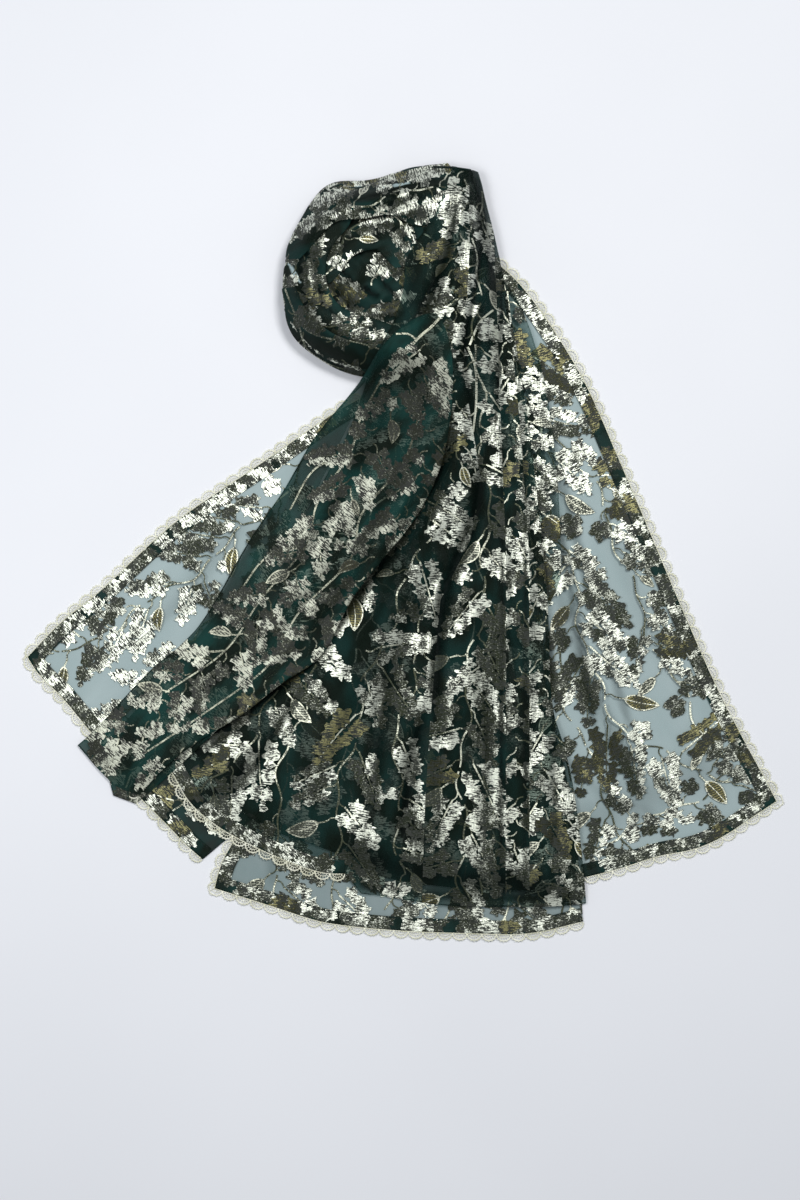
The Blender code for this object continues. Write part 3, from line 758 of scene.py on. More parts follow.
def hung_sides(plan, height, drop, numbers):
    """The sides of a cloth, wherever its edge ends high over what it lies on. Gives their points, where
    those are with the cloth spread flat, the number of the edge point over each, and the triangles."""
    starts, ends = sides_of(numbers)
    deep = (drop[starts] > LEAST_SIDE) & (drop[ends] > LEAST_SIDE)
    starts, ends = starts[deep], ends[deep]
    ahead = plan[ends] - plan[starts]
    out = np.zeros(plan.shape)
    for end in (starts, ends):
        np.add.at(out, end, np.column_stack([ahead[:, 1], -ahead[:, 0]]))
    out /= np.maximum(np.linalg.norm(out, axis=1), 1e-6)[:, None]
    rim = np.unique(np.concatenate([starts, ends]))
    row_of = np.full(len(plan), -1)
    row_of[rim] = np.arange(len(rim))
    top, fall, out = height[rim], drop[rim], out[rim]
    high = np.clip((fall - HIGH_SIDE[0]) / (HIGH_SIDE[1] - HIGH_SIDE[0]), 0, 1)
    tuck = TUCK[0] * np.clip(fall, 0, TUCK[1])
    points, flat, walls = [], [], []
    above_a, above_b, count = starts, ends, len(plan)
    for down in np.arange(1, SIDE_ROWS + 1) / SIDE_ROWS:
        swell = SIDE_SWELL * high * abs(math.sin(math.pi * SIDE_BANDS * down))
        side = (swell - tuck * down**1.8)[:, None]
        points.append(np.column_stack([plan[rim] + out * side, top - down * fall]))
        flat.append(plan[rim] + out * (down * fall)[:, None])
        below_a, below_b = count + row_of[starts], count + row_of[ends]
        walls.append(np.column_stack([above_a, below_a, below_b]))
        walls.append(np.column_stack([above_a, below_b, above_b]))
        above_a, above_b, count = below_a, below_b, count + len(rim)
    return np.vstack(points), np.vstack(flat), np.tile(rim, SIDE_ROWS), np.vstack(walls)


def cloth_mesh(name, lie, shapes, step, raised, panels):
    """A piece of cloth cut along its edge, at its height, with its shapes as faces of it."""
    met = [shape.outline for shape in shapes if sampled(lie.covered, *shape.outline.T).any()]
    plan, numbers = cut_cloth(lie.edge, panels, met, step)
    x, y = plan[numbers].mean(axis=1).T
    kinds, glints = floats_at(x, y, shapes, panels)
    # Painted highlight and shade on the floats: brighter where the cloth tilts to the window, duller in
    # folds.
    slope_y, slope_x = np.gradient(lie.height, GRID)
    more, most = GLINT_OF_SLOPE
    glints += more * np.clip(-sampled(slope_x + slope_y, x, y), -most, most)
    less, most = GLINT_LOST_IN_FOLDS
    glints -= less * np.clip(sampled(lie.deep, x, y), 0, most)
    height = sampled(lie.height, *plan.T) + raised
    plies = sampled(lie.plies, *plan.T)
    drop = height - sampled(lie.under, *plan.T) - FOOT_GAP
    sides, spread, over, walls = hung_sides(plan, height, drop, numbers)
    points = np.vstack([np.column_stack([plan, height]), sides])
    plan, plies = np.vstack([plan, spread]), np.concatenate([plies, plies[over]])
    side_kinds, side_glints = floats_at(*plan[walls].mean(axis=1).T, shapes, panels)
    kinds, glints = np.concatenate([kinds, side_kinds]), np.concatenate([glints, side_glints])
    numbers = np.vstack([numbers, walls])
    mesh = bpy.data.meshes.new(name)
    mesh.from_pydata(points * MM, [], numbers.tolist())
    mesh.polygons.foreach_set("material_index", kinds + 1)
    x, y = plan.T
    # How much painted shade the folds get; below 0, how pale a thin flap is painted as if lit from behind.
    fold = np.clip(sampled(lie.deep, x, y) / FOLD_PLIES, -1, 1)
    for label, domain, values in (
        ("glint", "FACE", glints),
        ("plies", "POINT", plies),
        ("fold", "POINT", fold),
    ):
        mesh.attributes.new(label, "FLOAT", domain).data.foreach_set("value", values)
    turn = math.radians(lie.grain)
    weft = x * math.sin(turn) - y * math.cos(turn)
    warp = x * math.cos(turn) + y * math.sin(turn)
    place = np.column_stack([weft, warp])[numbers.ravel()]
    mesh.uv_layers.new(name="cloth").data.foreach_set("uv", place.ravel())
    mesh.shade_smooth()
    return mesh


def show(name, mesh, materials):
    """A piece of the scene from a mesh."""
    for material in materials:
        mesh.materials.append(material)
    made = bpy.data.objects.new(name, mesh)
    bpy.context.scene.collection.objects.link(made)
    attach(made, "root")
    return made


def weave(name, lie, brocades, materials, slot, step=4.2, raised=0.0, panels=()):
    """A piece of cloth. Its materials are those of the ground and of each kind of float."""
    shapes = [shape for brocade in brocades for shape in brocade.shapes]
    mesh = cloth_mesh(name, lie, shapes, step, raised, panels)
    return show(name, mesh, materials)


def woven(lie, brocades, materials, slot, **cut):
    """The cloth of a whole stretch, which takes the place of its solid."""
    made = weave(f"{lie.node}_cloth", lie, brocades, materials, slot, **cut)
    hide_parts(lie.node)
    return made


ORGANZA_CLEAR = (0.91, 1.0, 0.985, 1.0)
ORGANZA_DARK = (0.0072, 0.0125, 0.0088, 1.0)
ORGANZA_TEAL = (0.011, 0.037, 0.033, 1.0)
# Painted shade, for the deepest folds.
ORGANZA_SHADE = (0.001, 0.003, 0.0025, 1.0)
ORGANZA_PAINTED_BACKLIGHT = (0.40, 0.51, 0.52, 1.0)  # painted light: a thin flap of the roll, painted pale as if lit from behind
PLY_OPEN = 0.72  # the share of light that passes one ply


def organza(name, dark=ORGANZA_DARK, light=ORGANZA_TEAL, open_share=PLY_OPEN):
    """Sheer cloth of fine bottle-green thread: part of the light passes it, a little tinted."""
    made, start = new_material(name)
    cloth = start.node("ShaderNodeUVMap", {"uv_map": "cloth"})
    plies = start.node("ShaderNodeAttribute", {"attribute_name": "plies"}, output="Fac")
    fold = start.node("ShaderNodeAttribute", {"attribute_name": "fold"}, output="Fac")
    cloudy = cloth.noise((26, 60, 1), detail=3)
    slub = cloth.noise((14, 0.7, 1), detail=2) + cloth.noise((0.7, 14, 1), detail=2)
    pucker = cloth.noise((5, 11, 1), detail=2)
    cover = 1 - open_share ** (plies * (0.75 + 0.5 * cloudy))
    # Painted shade: in folds the colour turns toward ORGANZA_SHADE.
    tone = (0.9 * fold).blend(cloudy.step(0.38, 0.68).blend(dark, light), ORGANZA_SHADE)
    thread = start.surface(
        # Painted light: flaps thinner than their stretch are painted pale, as if lit from behind.
        Base_Color=(0 - fold).step(0.2, 0.9).blend(tone, ORGANZA_PAINTED_BACKLIGHT),
        Roughness=0.42 + 0.2 * slub.step(0.7, 1.3),
        Specular_IOR_Level=0.04,
        Normal=(slub + 2.5 * pucker).bump(0.35, 0.35),
    )
    clear = start.node("ShaderNodeBsdfTransparent", {}, {"Color": ORGANZA_CLEAR})
    return close_material(made, start.node("ShaderNodeMixShader", {}, {0: cover, 1: clear, 2: thread}))


class Float(NamedTuple):
    """The finish of one kind of float."""
    name: str
    # The first two tones are painted: the thread lit, and the thread in shade, picked by its glint.
    bright: tuple
    unlit: tuple
    gap: tuple  # the ground that shows between its streaks
    streak: tuple  # length and width of a streak
    fill: float  # the share of it that is thread
    net: float = 0.0  # mesh of its net, 0 for none


# One for each kind, in the order of their numbers.
FLOATS = (
    Float("stem", (0.80, 0.82, 0.66), (0.068, 0.078, 0.044), (0.014, 0.020, 0.012), (5, 1.2), 0.80),
    Float("rim", (0.77, 0.78, 0.63), (0.076, 0.084, 0.050), (0.014, 0.020, 0.012), (4, 1.2), 0.80),
    Float("petal", (0.89, 0.93, 0.80), (0.023, 0.030, 0.014), (0.010, 0.015, 0.009), (6, 1.2), 0.55),
    Float("gold", (0.225, 0.215, 0.10), (0.026, 0.029, 0.011), (0.009, 0.014, 0.008), (6, 1.2), 0.48),
    Float("net", (0.55, 0.57, 0.46), (0.048, 0.056, 0.036), (0.014, 0.021, 0.014), (5, 1.2), 0.85, 2.4),
    Float("olive", (0.24, 0.22, 0.09), (0.044, 0.046, 0.018), (0.018, 0.022, 0.010), (5, 1.2), 0.85, 2.4),
)


def metal_thread(name, finish, dim=1.0, metal=0.7, warm=1.0):
    """Flat metal thread, broken by the weft. Over its real metal sheen its colour is painted: lit where its
    glint is high, in shade where it is low, and darker in folds.
    """
    tones = (finish.bright, finish.unlit, finish.gap)
    bright, unlit, gap = ((red * dim, green * dim, blue * dim * warm, 1.0) for red, green, blue in tones)
    made, start = new_material(name)
    cloth = start.node("ShaderNodeUVMap", {"uv_map": "cloth"})
    glint = start.node("ShaderNodeAttribute", {"attribute_name": "glint"}, output="Fac")
    fold = start.node("ShaderNodeAttribute", {"attribute_name": "fold"}, output="Fac")
    streak = cloth.noise((*finish.streak, 1), detail=2, roughness=0.6)
    patch = cloth.noise((9, 13, 1), detail=2)
    speck = cloth.noise((1.7, 1.0, 1), detail=1)
    grit = cloth.noise((2.2, 1.1, 1), detail=1, roughness=0.7)
    hair = cloth.noise((0.9, 30, 1), detail=0)
    low, high = 0.62 - 0.3 * finish.fill, 0.68 - 0.3 * finish.fill
    thread = (streak + 0.5 * (patch - 0.5) + 0.25 * (speck - 0.5)).step(low, high)
    if finish.net:
        across = cloth.node("ShaderNodeSeparateXYZ", {}, {0: cloth})
        along = cloth.node("ShaderNodeSeparateXYZ", {}, {0: cloth}, output=1)
        mesh = along.wave(finish.net) + 0.5 * across.wave(finish.net * 1.2)
        thread = thread * mesh.step(-0.35, 0.05)
    # Painted highlight: how lit each bit of thread is painted, from its glint, with painted sparkle in
    # specks.
    level = (glint * 1.1 + 1.5 * (patch - 0.5) + 1.7 * (speck - 0.5)).step(0.25, 0.75)
    sparkle = 0.26 * (grit + 0.15 * glint).step(0.53, 0.60) + 0.5 * (grit + 0.25 * glint).step(0.64, 0.70)
    level = level.math("MAXIMUM", level, sparkle)
    return close_material(made, start.surface(
        # Painted shade: in folds the thread gives way to the darker ground.
        Base_Color=(thread * (1 - 0.75 * fold)).blend(gap, level.blend(unlit, bright)),
        Metallic=metal * thread,
        Roughness=0.55 - 0.22 * thread * level + 0.1 * speck,
        Specular_IOR_Level=0.5,
        Normal=(streak + 0.4 * speck + hair + 0.5 * grit).bump(0.75, 0.5),
    ))


def thread_set(side, **look):
    return [metal_thread(f"{side}_{finish.name}_thread", finish, **look) for finish in FLOATS]


FACE_CLOTH = [organza("organza"), *thread_set("face")]


# ---------------------------------------------------------------------------------------------------
# Hem and lace. The cut edge is turned over twice into a band and stitched down along its inner edge. A
# narrow scalloped lace of pale gold cord is sewn under the band and stands out past it all the way.
HEM_WIDTH = 13.5
HEM_RISE = 0.45  # of the band over its cloth
HEM_PLIES = 6.0
STITCH = (3.0, 0.55)  # length and width of one
STITCH_PITCH = 4.4
STITCH_INSET = 1.3  # from the band's inner edge
SCALLOP_PITCH = 14.5
SCALLOP_REACH = 7.2
INNER_ARC = (0.62, 0.56)  # width and reach of the arc inside a scallop, as shares of the scallop's
LACE_FOOT = 0.6  # from the cut edge to where the scallops start
CORD = 0.6  # radius of the scallops' cord
FINE_CORD = 0.34
BAR = 0.9 * FINE_CORD  # radius of the bars from arc to arc
SPOKES = ((-2.4, 1.7), (0, 1.3), (2.4, 1.7))  # of the bars inside an arc: place along it, and reach
HEADER_TWIST = 6.0  # length of one turn of the header's two cords
PICOTS = 7  # round a scallop
PICOT = (0.8, 0.3)  # radius of its ring and of its cord
HEM_STITCH_TONE = (0.004, 0.010, 0.009, 1.0)
LACE_TONE = (0.72, 0.72, 0.55, 1.0)
LACE_TONE_BRIGHT = (0.97, 0.97, 0.85, 1.0)


def edge_run(loop, start, via, end):
    """The part of a loop from one place to another by way of a third."""
    places = (start, via, end)
    first, middle, last = (int(np.argmin(np.linalg.norm(loop - place, axis=1))) for place in places)
    if (middle - first) % len(loop) < (last - first) % len(loop):
        ahead = np.roll(loop, -first, axis=0)
        return ahead[:(last - first) % len(loop) + 1]
    back = np.roll(loop[::-1], first + 1, axis=0)
    return back[:(first - last) % len(loop) + 1]


def outward(run, loop):
    """Unit vectors across a run of an edge, away from its cloth."""
    ahead = np.gradient(run, axis=0)
    ahead /= np.linalg.norm(ahead, axis=1)[:, None]
    across = np.column_stack([ahead[:, 1], -ahead[:, 0]])
    middle = len(run) // 2
    probe = run[middle] + 3 * across[middle]
    return -across if within(probe[:1], probe[1:], loop)[0] else across


def inset(run, loop, width):
    """A line that far inside an edge, with no loops at its corners."""
    line = run - width * outward(run, loop)
    away = np.linalg.norm(line[:, None] - run[None], axis=2).min(axis=1)
    return line[away > width - 0.6]


def ring_round(ahead, up, radius, sides, turned=0.0):
    """The points of a ring round each of some directions."""
    across = np.cross(ahead, up)
    across /= np.linalg.norm(across, axis=1)[:, None]
    over = np.cross(across, ahead)
    turn = (np.arange(sides) * math.tau / sides + turned)[None, :, None]
    return radius * (np.cos(turn) * across[:, None] + np.sin(turn) * over[:, None])


def bars(starts, ends, radius, sides=4):
    """Thin closed rods from one set of points to another."""
    starts, ends = np.asarray(starts, float), np.asarray(ends, float)
    ahead = ends - starts
    ahead /= np.linalg.norm(ahead, axis=1)[:, None]
    up = np.where(np.abs(ahead[:, 2:]) > 0.9, (1.0, 0, 0), (0, 0, 1.0))
    ring = ring_round(ahead, up, radius, sides, math.pi / sides)
    points = np.concatenate([starts[:, None] + ring, ends[:, None] + ring], axis=1)
    k = np.arange(sides)
    walls = np.column_stack([k, (k + 1) % sides, (k + 1) % sides + sides, k + sides])
    rods = 2 * sides * np.arange(len(starts))
    faces = [tuple(wall + first) for first in rods for wall in walls]
    faces += [tuple(cap + first) for first in rods for cap in (k[::-1], k + sides)]
    return points.reshape(-1, 3), faces


def cord_tube(path, radius, sides=5, closed=False):
    """A round cord along a path, closed on itself or capped."""
    path = np.asarray(path, float)
    ahead = np.roll(path, -1, axis=0) - np.roll(path, 1, axis=0) if closed else np.gradient(path, axis=0)
    ahead /= np.linalg.norm(ahead, axis=1)[:, None]
    points = (path[:, None] + ring_round(ahead, (0, 0, 1.0), radius, sides)).reshape(-1, 3)
    count, k = len(path), np.arange(sides)
    after = (k + 1) % sides
    faces = []
    for n in range(count if closed else count - 1):
        here, there = n * sides, (n + 1) % count * sides
        walls = np.column_stack([here + k, here + after, there + after, there + k])
        faces += [tuple(wall) for wall in walls]
    if not closed:
        faces += [tuple(k[::-1]), tuple(k + (count - 1) * sides)]
    return points, faces


def joined(parts):
    """Several meshes as one."""
    points, faces, count = [], [], 0
    for some, walls in parts:
        points.append(some)
        faces += [tuple(int(corner) + count for corner in wall) for wall in walls]
        count += len(some)
    return np.vstack(points), faces


def solid_mesh(name, points, faces):
    mesh = bpy.data.meshes.new(name)
    mesh.from_pydata(np.asarray(points) * MM, [], faces)
    mesh.shade_smooth()
    return mesh


def lace_parts(run, loop, lie):
    """The cords of the lace along an edge: a twisted header, and scallops with bars and small picots."""
    length = run_length(run)
    out = outward(run, loop)
    base = np.column_stack([run, sampled(lie.height, *run.T)])

    def at(along, beyond, lift=0.0):
        """Places so far along the edge, so far beyond it and so far over it."""
        spot = np.column_stack([np.interp(along, length, base[:, k]) for k in range(3)])
        away = np.column_stack([np.interp(along, length, out[:, k]) for k in range(2)])
        spot[:, :2] += away / np.linalg.norm(away, axis=1)[:, None] * np.asarray(beyond)[:, None]
        spot[:, 2] += lift
        return spot

    def arc(middle, turn, width, reach):
        return at(middle + width * np.cos(turn), LACE_FOOT + reach * np.sin(turn))

    parts = []
    along = np.arange(1, length[-1] - 1, 1.5)
    for phase in (0, math.pi):
        turn = along * math.tau / HEADER_TWIST + phase
        parts.append(cord_tube(at(along, 0.5 + 0.5 * np.sin(turn), 0.3 * np.cos(turn)), FINE_CORD, 4))
    count = max(1, round(length[-1] / SCALLOP_PITCH))
    pitch = length[-1] / count
    wide = pitch / 2 - 0.3
    outer = (wide, SCALLOP_REACH - 0.9)
    inner = (wide * INNER_ARC[0], SCALLOP_REACH * INNER_ARC[1] - 0.9)
    spokes, reaches = np.array(SPOKES).T
    ring, cord = PICOT
    around = np.arange(6) * math.tau / 6
    for middle in (np.arange(count) + 0.5) * pitch:
        parts.append(cord_tube(arc(middle, np.linspace(0, math.pi, 15), *outer), CORD))
        parts.append(cord_tube(arc(middle, np.linspace(0, math.pi, 11), *inner), FINE_CORD))
        turn = np.linspace(0.14, 0.86, 6) * math.pi
        parts.append(bars(arc(middle, turn, *inner), arc(middle, turn, *outer), BAR))
        feet = at(middle + spokes, np.full(len(spokes), LACE_FOOT))
        parts.append(bars(feet, at(middle + spokes * 0.5, reaches + 0.9), BAR))
        for picot in np.linspace(0.1, 0.9, PICOTS) * math.pi:
            along = middle + (wide + 0.35) * math.cos(picot) + ring * np.cos(around)
            beyond = LACE_FOOT + (SCALLOP_REACH - 0.45) * math.sin(picot) + ring * np.sin(around)
            parts.append(cord_tube(at(along, beyond), cord, 4, closed=True))
    return parts


def lace_material():
    made, start = new_material("lace_cord")
    place = start.node("ShaderNodeTexCoord", output="Object")
    twist = place.noise((0.0006, 0.0006, 0.0012), detail=2)
    cloudy = place.noise((0.012, 0.012, 0.012), detail=2)
    return close_material(made, start.surface(
        Base_Color=(twist * 0.6 + cloudy * 0.6).step(0.45, 0.75).blend(LACE_TONE, LACE_TONE_BRIGHT),
        Metallic=0.25,
        Roughness=0.42 + 0.15 * twist,
        Normal=twist.bump(0.5, 0.25),
    ))


def stitch_material():
    made, start = new_material("hem_stitches")
    fibre = start.node("ShaderNodeTexCoord", output="Object").noise((0.0004, 0.0004, 0.0004), detail=1)
    return close_material(made, start.surface(
        Base_Color=HEM_STITCH_TONE,
        Roughness=0.6 + 0.1 * fibre,
        Normal=fibre.bump(0.3, 0.1),
    ))


LACE_MATERIAL = lace_material()
STITCH_MATERIAL = stitch_material()


def hem_and_lace(name, lie, way, slot, seed):
    """Finishes the edge of a stretch, from one place to another by way of a third: its folded band, the
    band's stitches and its lace."""
    run = edge_run(lie.edge, *way)
    edge = np.vstack([run, inset(run, lie.edge, HEM_WIDTH)[::-1]])
    band = lie._replace(edge=edge, plies=np.full(GX.shape, HEM_PLIES))
    middle = inset(run, lie.edge, HEM_WIDTH / 2)[::12]
    brocade = Brocade(seed, lie.grain, unlit=0.6).scraps(middle, size=0.42, share=0.85)
    hem = weave(f"{name}_hem", band, [brocade], FACE_CLOTH, slot, step=3.4, raised=HEM_RISE)
    seam = inset(run, lie.edge, HEM_WIDTH - STITCH_INSET)
    length = run_length(seam)
    stitch, thick = STITCH
    at = np.arange(2, length[-1] - stitch - 1, STITCH_PITCH)
    ends = []
    for along in (at, at + stitch):
        spot = np.column_stack([np.interp(along, length, seam[:, k]) for k in range(2)])
        ends.append(np.column_stack([spot, sampled(lie.height, *spot.T) + HEM_RISE + 0.1]))
    mesh = solid_mesh(f"{name}_stitches", *bars(*ends, thick / 2))
    stitches = show(f"{name}_stitches", mesh, [STITCH_MATERIAL])
    mesh = solid_mesh(f"{name}_lace", *joined(lace_parts(run, lie.edge, lie)))
    cords = show(f"{name}_lace_cords", mesh, [LACE_MATERIAL])
    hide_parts(f"{name}_lace")
    return [hem, stitches, cords]


# ---------------------------------------------------------------------------------------------------
# Left wing: a single ply, face up on the table. Its corner points to the far left, and its two cut
# edges are hemmed and laced. Two soft fold lines fan out of the roll.
LEFT_WING_GRAIN = -141.0
left_wing_lie = lay_stretch("left_wing", (
    Crease(((-150, 40), (-215, -40), (-280, -95)), (13, 22), (1, 2.5, 1), 0.35),
    Crease(((-120, 20), (-190, -70), (-260, -140)), (20, 12), (1, 2, 1), 0.2),
), grain=LEFT_WING_GRAIN, waves=(0.5, 14, 60), seed=11)
left_wing_brocade = Brocade(21, LEFT_WING_GRAIN, unlit=0.35)
left_wing_brocade.vine(((-90, 95), (-150, 30), (-225, -30), (-300, -80), (-345, -105)), size=0.95)
left_wing_brocade.vine(((-130, 10), (-200, -80), (-250, -130), (-290, -180)), size=0.95)
left_wing = woven(left_wing_lie, [left_wing_brocade], FACE_CLOTH, "sheer_cloth")
left_wing_way = ((-40, 156), (-374, -103), (-280, -214))
left_wing_trim = hem_and_lace("left_wing", left_wing_lie, left_wing_way, "sheer_cloth", 22)


# ---------------------------------------------------------------------------------------------------
# Right wing: a single ply, face up on the table, wider than the left one. The cloth fans out of the
# neck in fine pleats that part and flatten before its corner.
RIGHT_WING_GRAIN = -66.0
right_wing_lie = lay_stretch("right_wing", (
    Crease(((100, 250), (118, 120), (140, -40), (158, -160)), (5, 9), (2, 4, 1.5), 2.2),
    Crease(((110, 240), (138, 110), (168, -30), (196, -190)), (5, 8), (2, 3.5, 1.5), 1.7),
    Crease(((122, 215), (160, 70), (192, -60), (236, -200)), (9, 6), (2, 3.5, 1.5), 1.1),
    Crease(((146, -10), (198, -146), (250, -250)), (12, 18), (1, 3.5, 2), 0.5),
    Crease(((200, 40), (240, -60), (290, -150)), (22, 16), (0.5, 2, 1), 0.2),
    Crease(((150, -190), (190, -230), (260, -262)), (10, 14), (1, 2, 1), 0.3),
    # A broad crease with no height: its plies paint shade on the wing there and dull its floats.
    Crease(((150, -270), (230, -250), (330, -200)), (46, 46), (0, 0, 0), 0.4),
), grain=RIGHT_WING_GRAIN, waves=(0.5, 14, 70), seed=12)
right_wing_brocade = Brocade(31, RIGHT_WING_GRAIN, unlit=0.75)
right_wing_brocade.vine((
    (112, 230), (140, 130), (150, 40), (175, -40), (190, -120), (240, -190), (330, -225)))
right_wing_brocade.vine(((150, 130), (200, 50), (232, -40), (262, -110), (310, -190)), size=0.95)
right_wing_brocade.unlit = 0.9
right_wing_brocade.vine(((150, -80), (170, -160), (200, -230), (225, -300)), size=0.95)
right_wing_brocade.vine(((186, -296), (240, -268), (290, -244), (338, -214)), spacing=18, size=0.8)
right_wing = woven(right_wing_lie, [right_wing_brocade], FACE_CLOTH, "sheer_cloth")
right_wing_way = ((93, 292), (318, -141), (183, -323))
right_wing_trim = hem_and_lace("right_wing", right_wing_lie, right_wing_way, "sheer_cloth", 32)


# ---------------------------------------------------------------------------------------------------
# Lower flap: the other end of the length, a single ply that comes out under the front panel at its
# foot, hemmed and laced along its end and its left side.
LOWER_FLAP_GRAIN = -94.0
lower_flap_lie = lay_stretch("lower_flap", (
    Crease(((-120, -200), (-128, -270), (-130, -340)), (8, 14), (0.5, 1.5, 0.5), 0.4),
    Crease(((20, -200), (30, -290), (34, -370)), (16, 10), (0.5, 1.5, 1), 0.3),
    Crease(((110, -200), (118, -290), (120, -365)), (10, 8), (0.5, 1.5, 1), 0.8),
    # A narrow band of painted shade across the flap, along the front panel's foot.
    Crease(((-62, -322), (-20, -336), (60, -342), (178, -346)), (9, 6), (0, 0.5, 0), 3.0),
), plies=1.6, grain=LOWER_FLAP_GRAIN, waves=(0.4, 16, 60), seed=13)
lower_flap_brocade = Brocade(41, LOWER_FLAP_GRAIN, unlit=0.9, shy=0.7)
for x in (-130, -70, -10, 50, 110, 165):
    lower_flap_brocade.vine(((x, -200), (x + 8, -270), (x - 6, -372)))
lower_flap = woven(lower_flap_lie, [lower_flap_brocade], FACE_CLOTH, "sheer_cloth")
lower_flap_way = ((-140, -236), (-187, -334), (181, -367))
lower_flap_trim = hem_and_lace("lower_flap", lower_flap_lie, lower_flap_way, "sheer_cloth", 42)


# ---------------------------------------------------------------------------------------------------
# Left under flap: the folded end of the left fold's cloth, many plies of organza thick. It lies over
# the lower flap, and its corner is hemmed and laced.
UNDER_FLAP_GRAIN = -136.0
under_flap_lie = lay_stretch("left_under_flap", (
    Crease(((-170, -200), (-215, -240), (-250, -270)), (9, 6), (0.5, 1.5, 0.5), 0.6),
), plies=6.0, grain=UNDER_FLAP_GRAIN, waves=(0.3, 12, 40), seed=14)
under_flap_brocade = Brocade(51, UNDER_FLAP_GRAIN, unlit=0.4)
under_flap_brocade.vine(((-150, -190), (-200, -235), (-260, -290)), size=0.9)
under_flap = woven(under_flap_lie, [under_flap_brocade], FACE_CLOTH, "layered_cloth")
under_flap_way = ((-284, -221), (-240, -264), (-199, -305))
under_flap_trim = hem_and_lace("under_flap", under_flap_lie, under_flap_way, "layered_cloth", 52)


# ---------------------------------------------------------------------------------------------------
# Right pleats: a narrow strip beside the neck, where the right wing's organza is gathered and doubles
# over itself. Both of its sides are folds, so it has no hem.
PLEATS_GRAIN = -84.0
right_pleats_lie = lay_stretch("right_pleats", (
    Crease(((97, 265), (106, 150), (118, 30), (128, -65)), (4, 8), (1.5, 3, 1), 1.2),
    Crease(((103, 260), (120, 140), (136, 30), (148, -60)), (5, 7), (1.5, 2.5, 1), 0.9),
), plies=1.5, grain=PLEATS_GRAIN, waves=(0.5, 8, 80), seed=15)
right_pleats_brocade = Brocade(61, PLEATS_GRAIN)
right_pleats_brocade.vine(((104, 262), (116, 140), (130, 20), (142, -66)), size=0.8)
right_pleats = woven(right_pleats_lie, [right_pleats_brocade], FACE_CLOTH, "layered_cloth")


# ---------------------------------------------------------------------------------------------------
# The roll. The cloth above the neck is wound round itself three times and stands 55 mm high: a
# crumpled core, a swirl on top of it, and outer turns that wrap its left side, its top and its foot.
# The plies in the troughs of the roll's creases paint shade in them.
roll_core_lie = lay_stretch("roll_core", (
    Crease(((-96, 262), (-84, 224), (-50, 204), (0, 196), (44, 200)), (6, 9), (-3, -7, -3), 2.4),
    Crease(((24, 334), (33, 296), (34, 262), (22, 226)), (8, 7), (-3, -9, -3), 2.6),
    Crease(((-86, 318), (-50, 330), (0, 338), (38, 350)), (6, 6), (-2, -6, -2), 2.4),
    Crease(((44, 330), (52, 270), (40, 220)), (6, 10), (2, 5, 2)),
), plies=9.0, grain=10, waves=(2.4, 8, 22), seed=16)
roll_core_brocade = Brocade(71, roll_core_lie.grain, unlit=0.7)
for y in (215, 262, 305, 345):
    roll_core_brocade.vine(((-110, y - 12), (-30, y + 8), (80, y - 4)), size=0.8)
roll_core = woven(roll_core_lie, [roll_core_brocade], FACE_CLOTH, "layered_cloth")

swirl_inner_lie = lay_stretch("roll_swirl_inner", (
    Crease(((-80, 318), (-62, 298), (-44, 284), (-30, 262)), (4, 6), (2, 5, 2)),
    Crease(((-84, 304), (-66, 284), (-50, 268), (-40, 250)), (3, 3), (-2, -5, -3), 2.6),
    Crease(((-84, 296), (-68, 272), (-52, 256), (-44, 242)), (4, 5), (2, 5, 2)),
    Crease(((-82, 280), (-70, 260), (-56, 246), (-46, 234)), (3, 3), (-2, -5, -2), 2.4),
    Crease(((-70, 318), (-50, 304), (-36, 290)), (3, 3), (-1, -5, -2), 2.6),
    Crease(((-54, 322), (-34, 312), (-16, 310), (6, 300)), (4, 7), (2, 4, 2)),
    Crease(((-48, 312), (-30, 302), (-10, 300), (8, 288)), (3, 3), (-1, -4, -1), 2.4),
    Crease(((-26, 296), (-8, 284), (8, 262)), (4, 8), (1, 4, 2)),
    Crease(((-38, 262), (-30, 254), (-22, 252)), (5, 5), (-3, -7, -3), 2.8),
    Crease(((-34, 280), (-20, 268), (-2, 246)), (3, 4), (-1, -4, -2), 2.2),
    Crease(((-60, 236), (-36, 232), (-8, 238), (10, 252)), (4, 6), (2, 4, 2)),
    Crease(((-56, 244), (-30, 240), (-6, 248)), (3, 3), (-1, -4, -2), 2.2),
), plies=8.0, grain=35, waves=(2.6, 5, 12), seed=17)
swirl_inner_brocade = Brocade(72, swirl_inner_lie.grain, unlit=0.0, gold=0.3)
swirl_inner_brocade.scraps(((-76, 310), (-58, 284)), size=0.5, share=0.9)
swirl_inner_brocade.motif(-30, 262, 66, "plume", 0.62)
swirl_inner_brocade.unlit = 0.8
for line in (
    ((-50, 318), (-20, 310), (10, 300)),
    ((-82, 284), (-66, 262), (-50, 244)),
    ((-58, 268), (-44, 250)),
    ((-48, 236), (-20, 238), (4, 250)),
    ((-14, 286), (6, 270)),
):
    swirl_inner_brocade.scraps(line, size=0.42, share=0.8)
swirl_inner = woven(swirl_inner_lie, [swirl_inner_brocade], FACE_CLOTH, "layered_cloth", step=3)

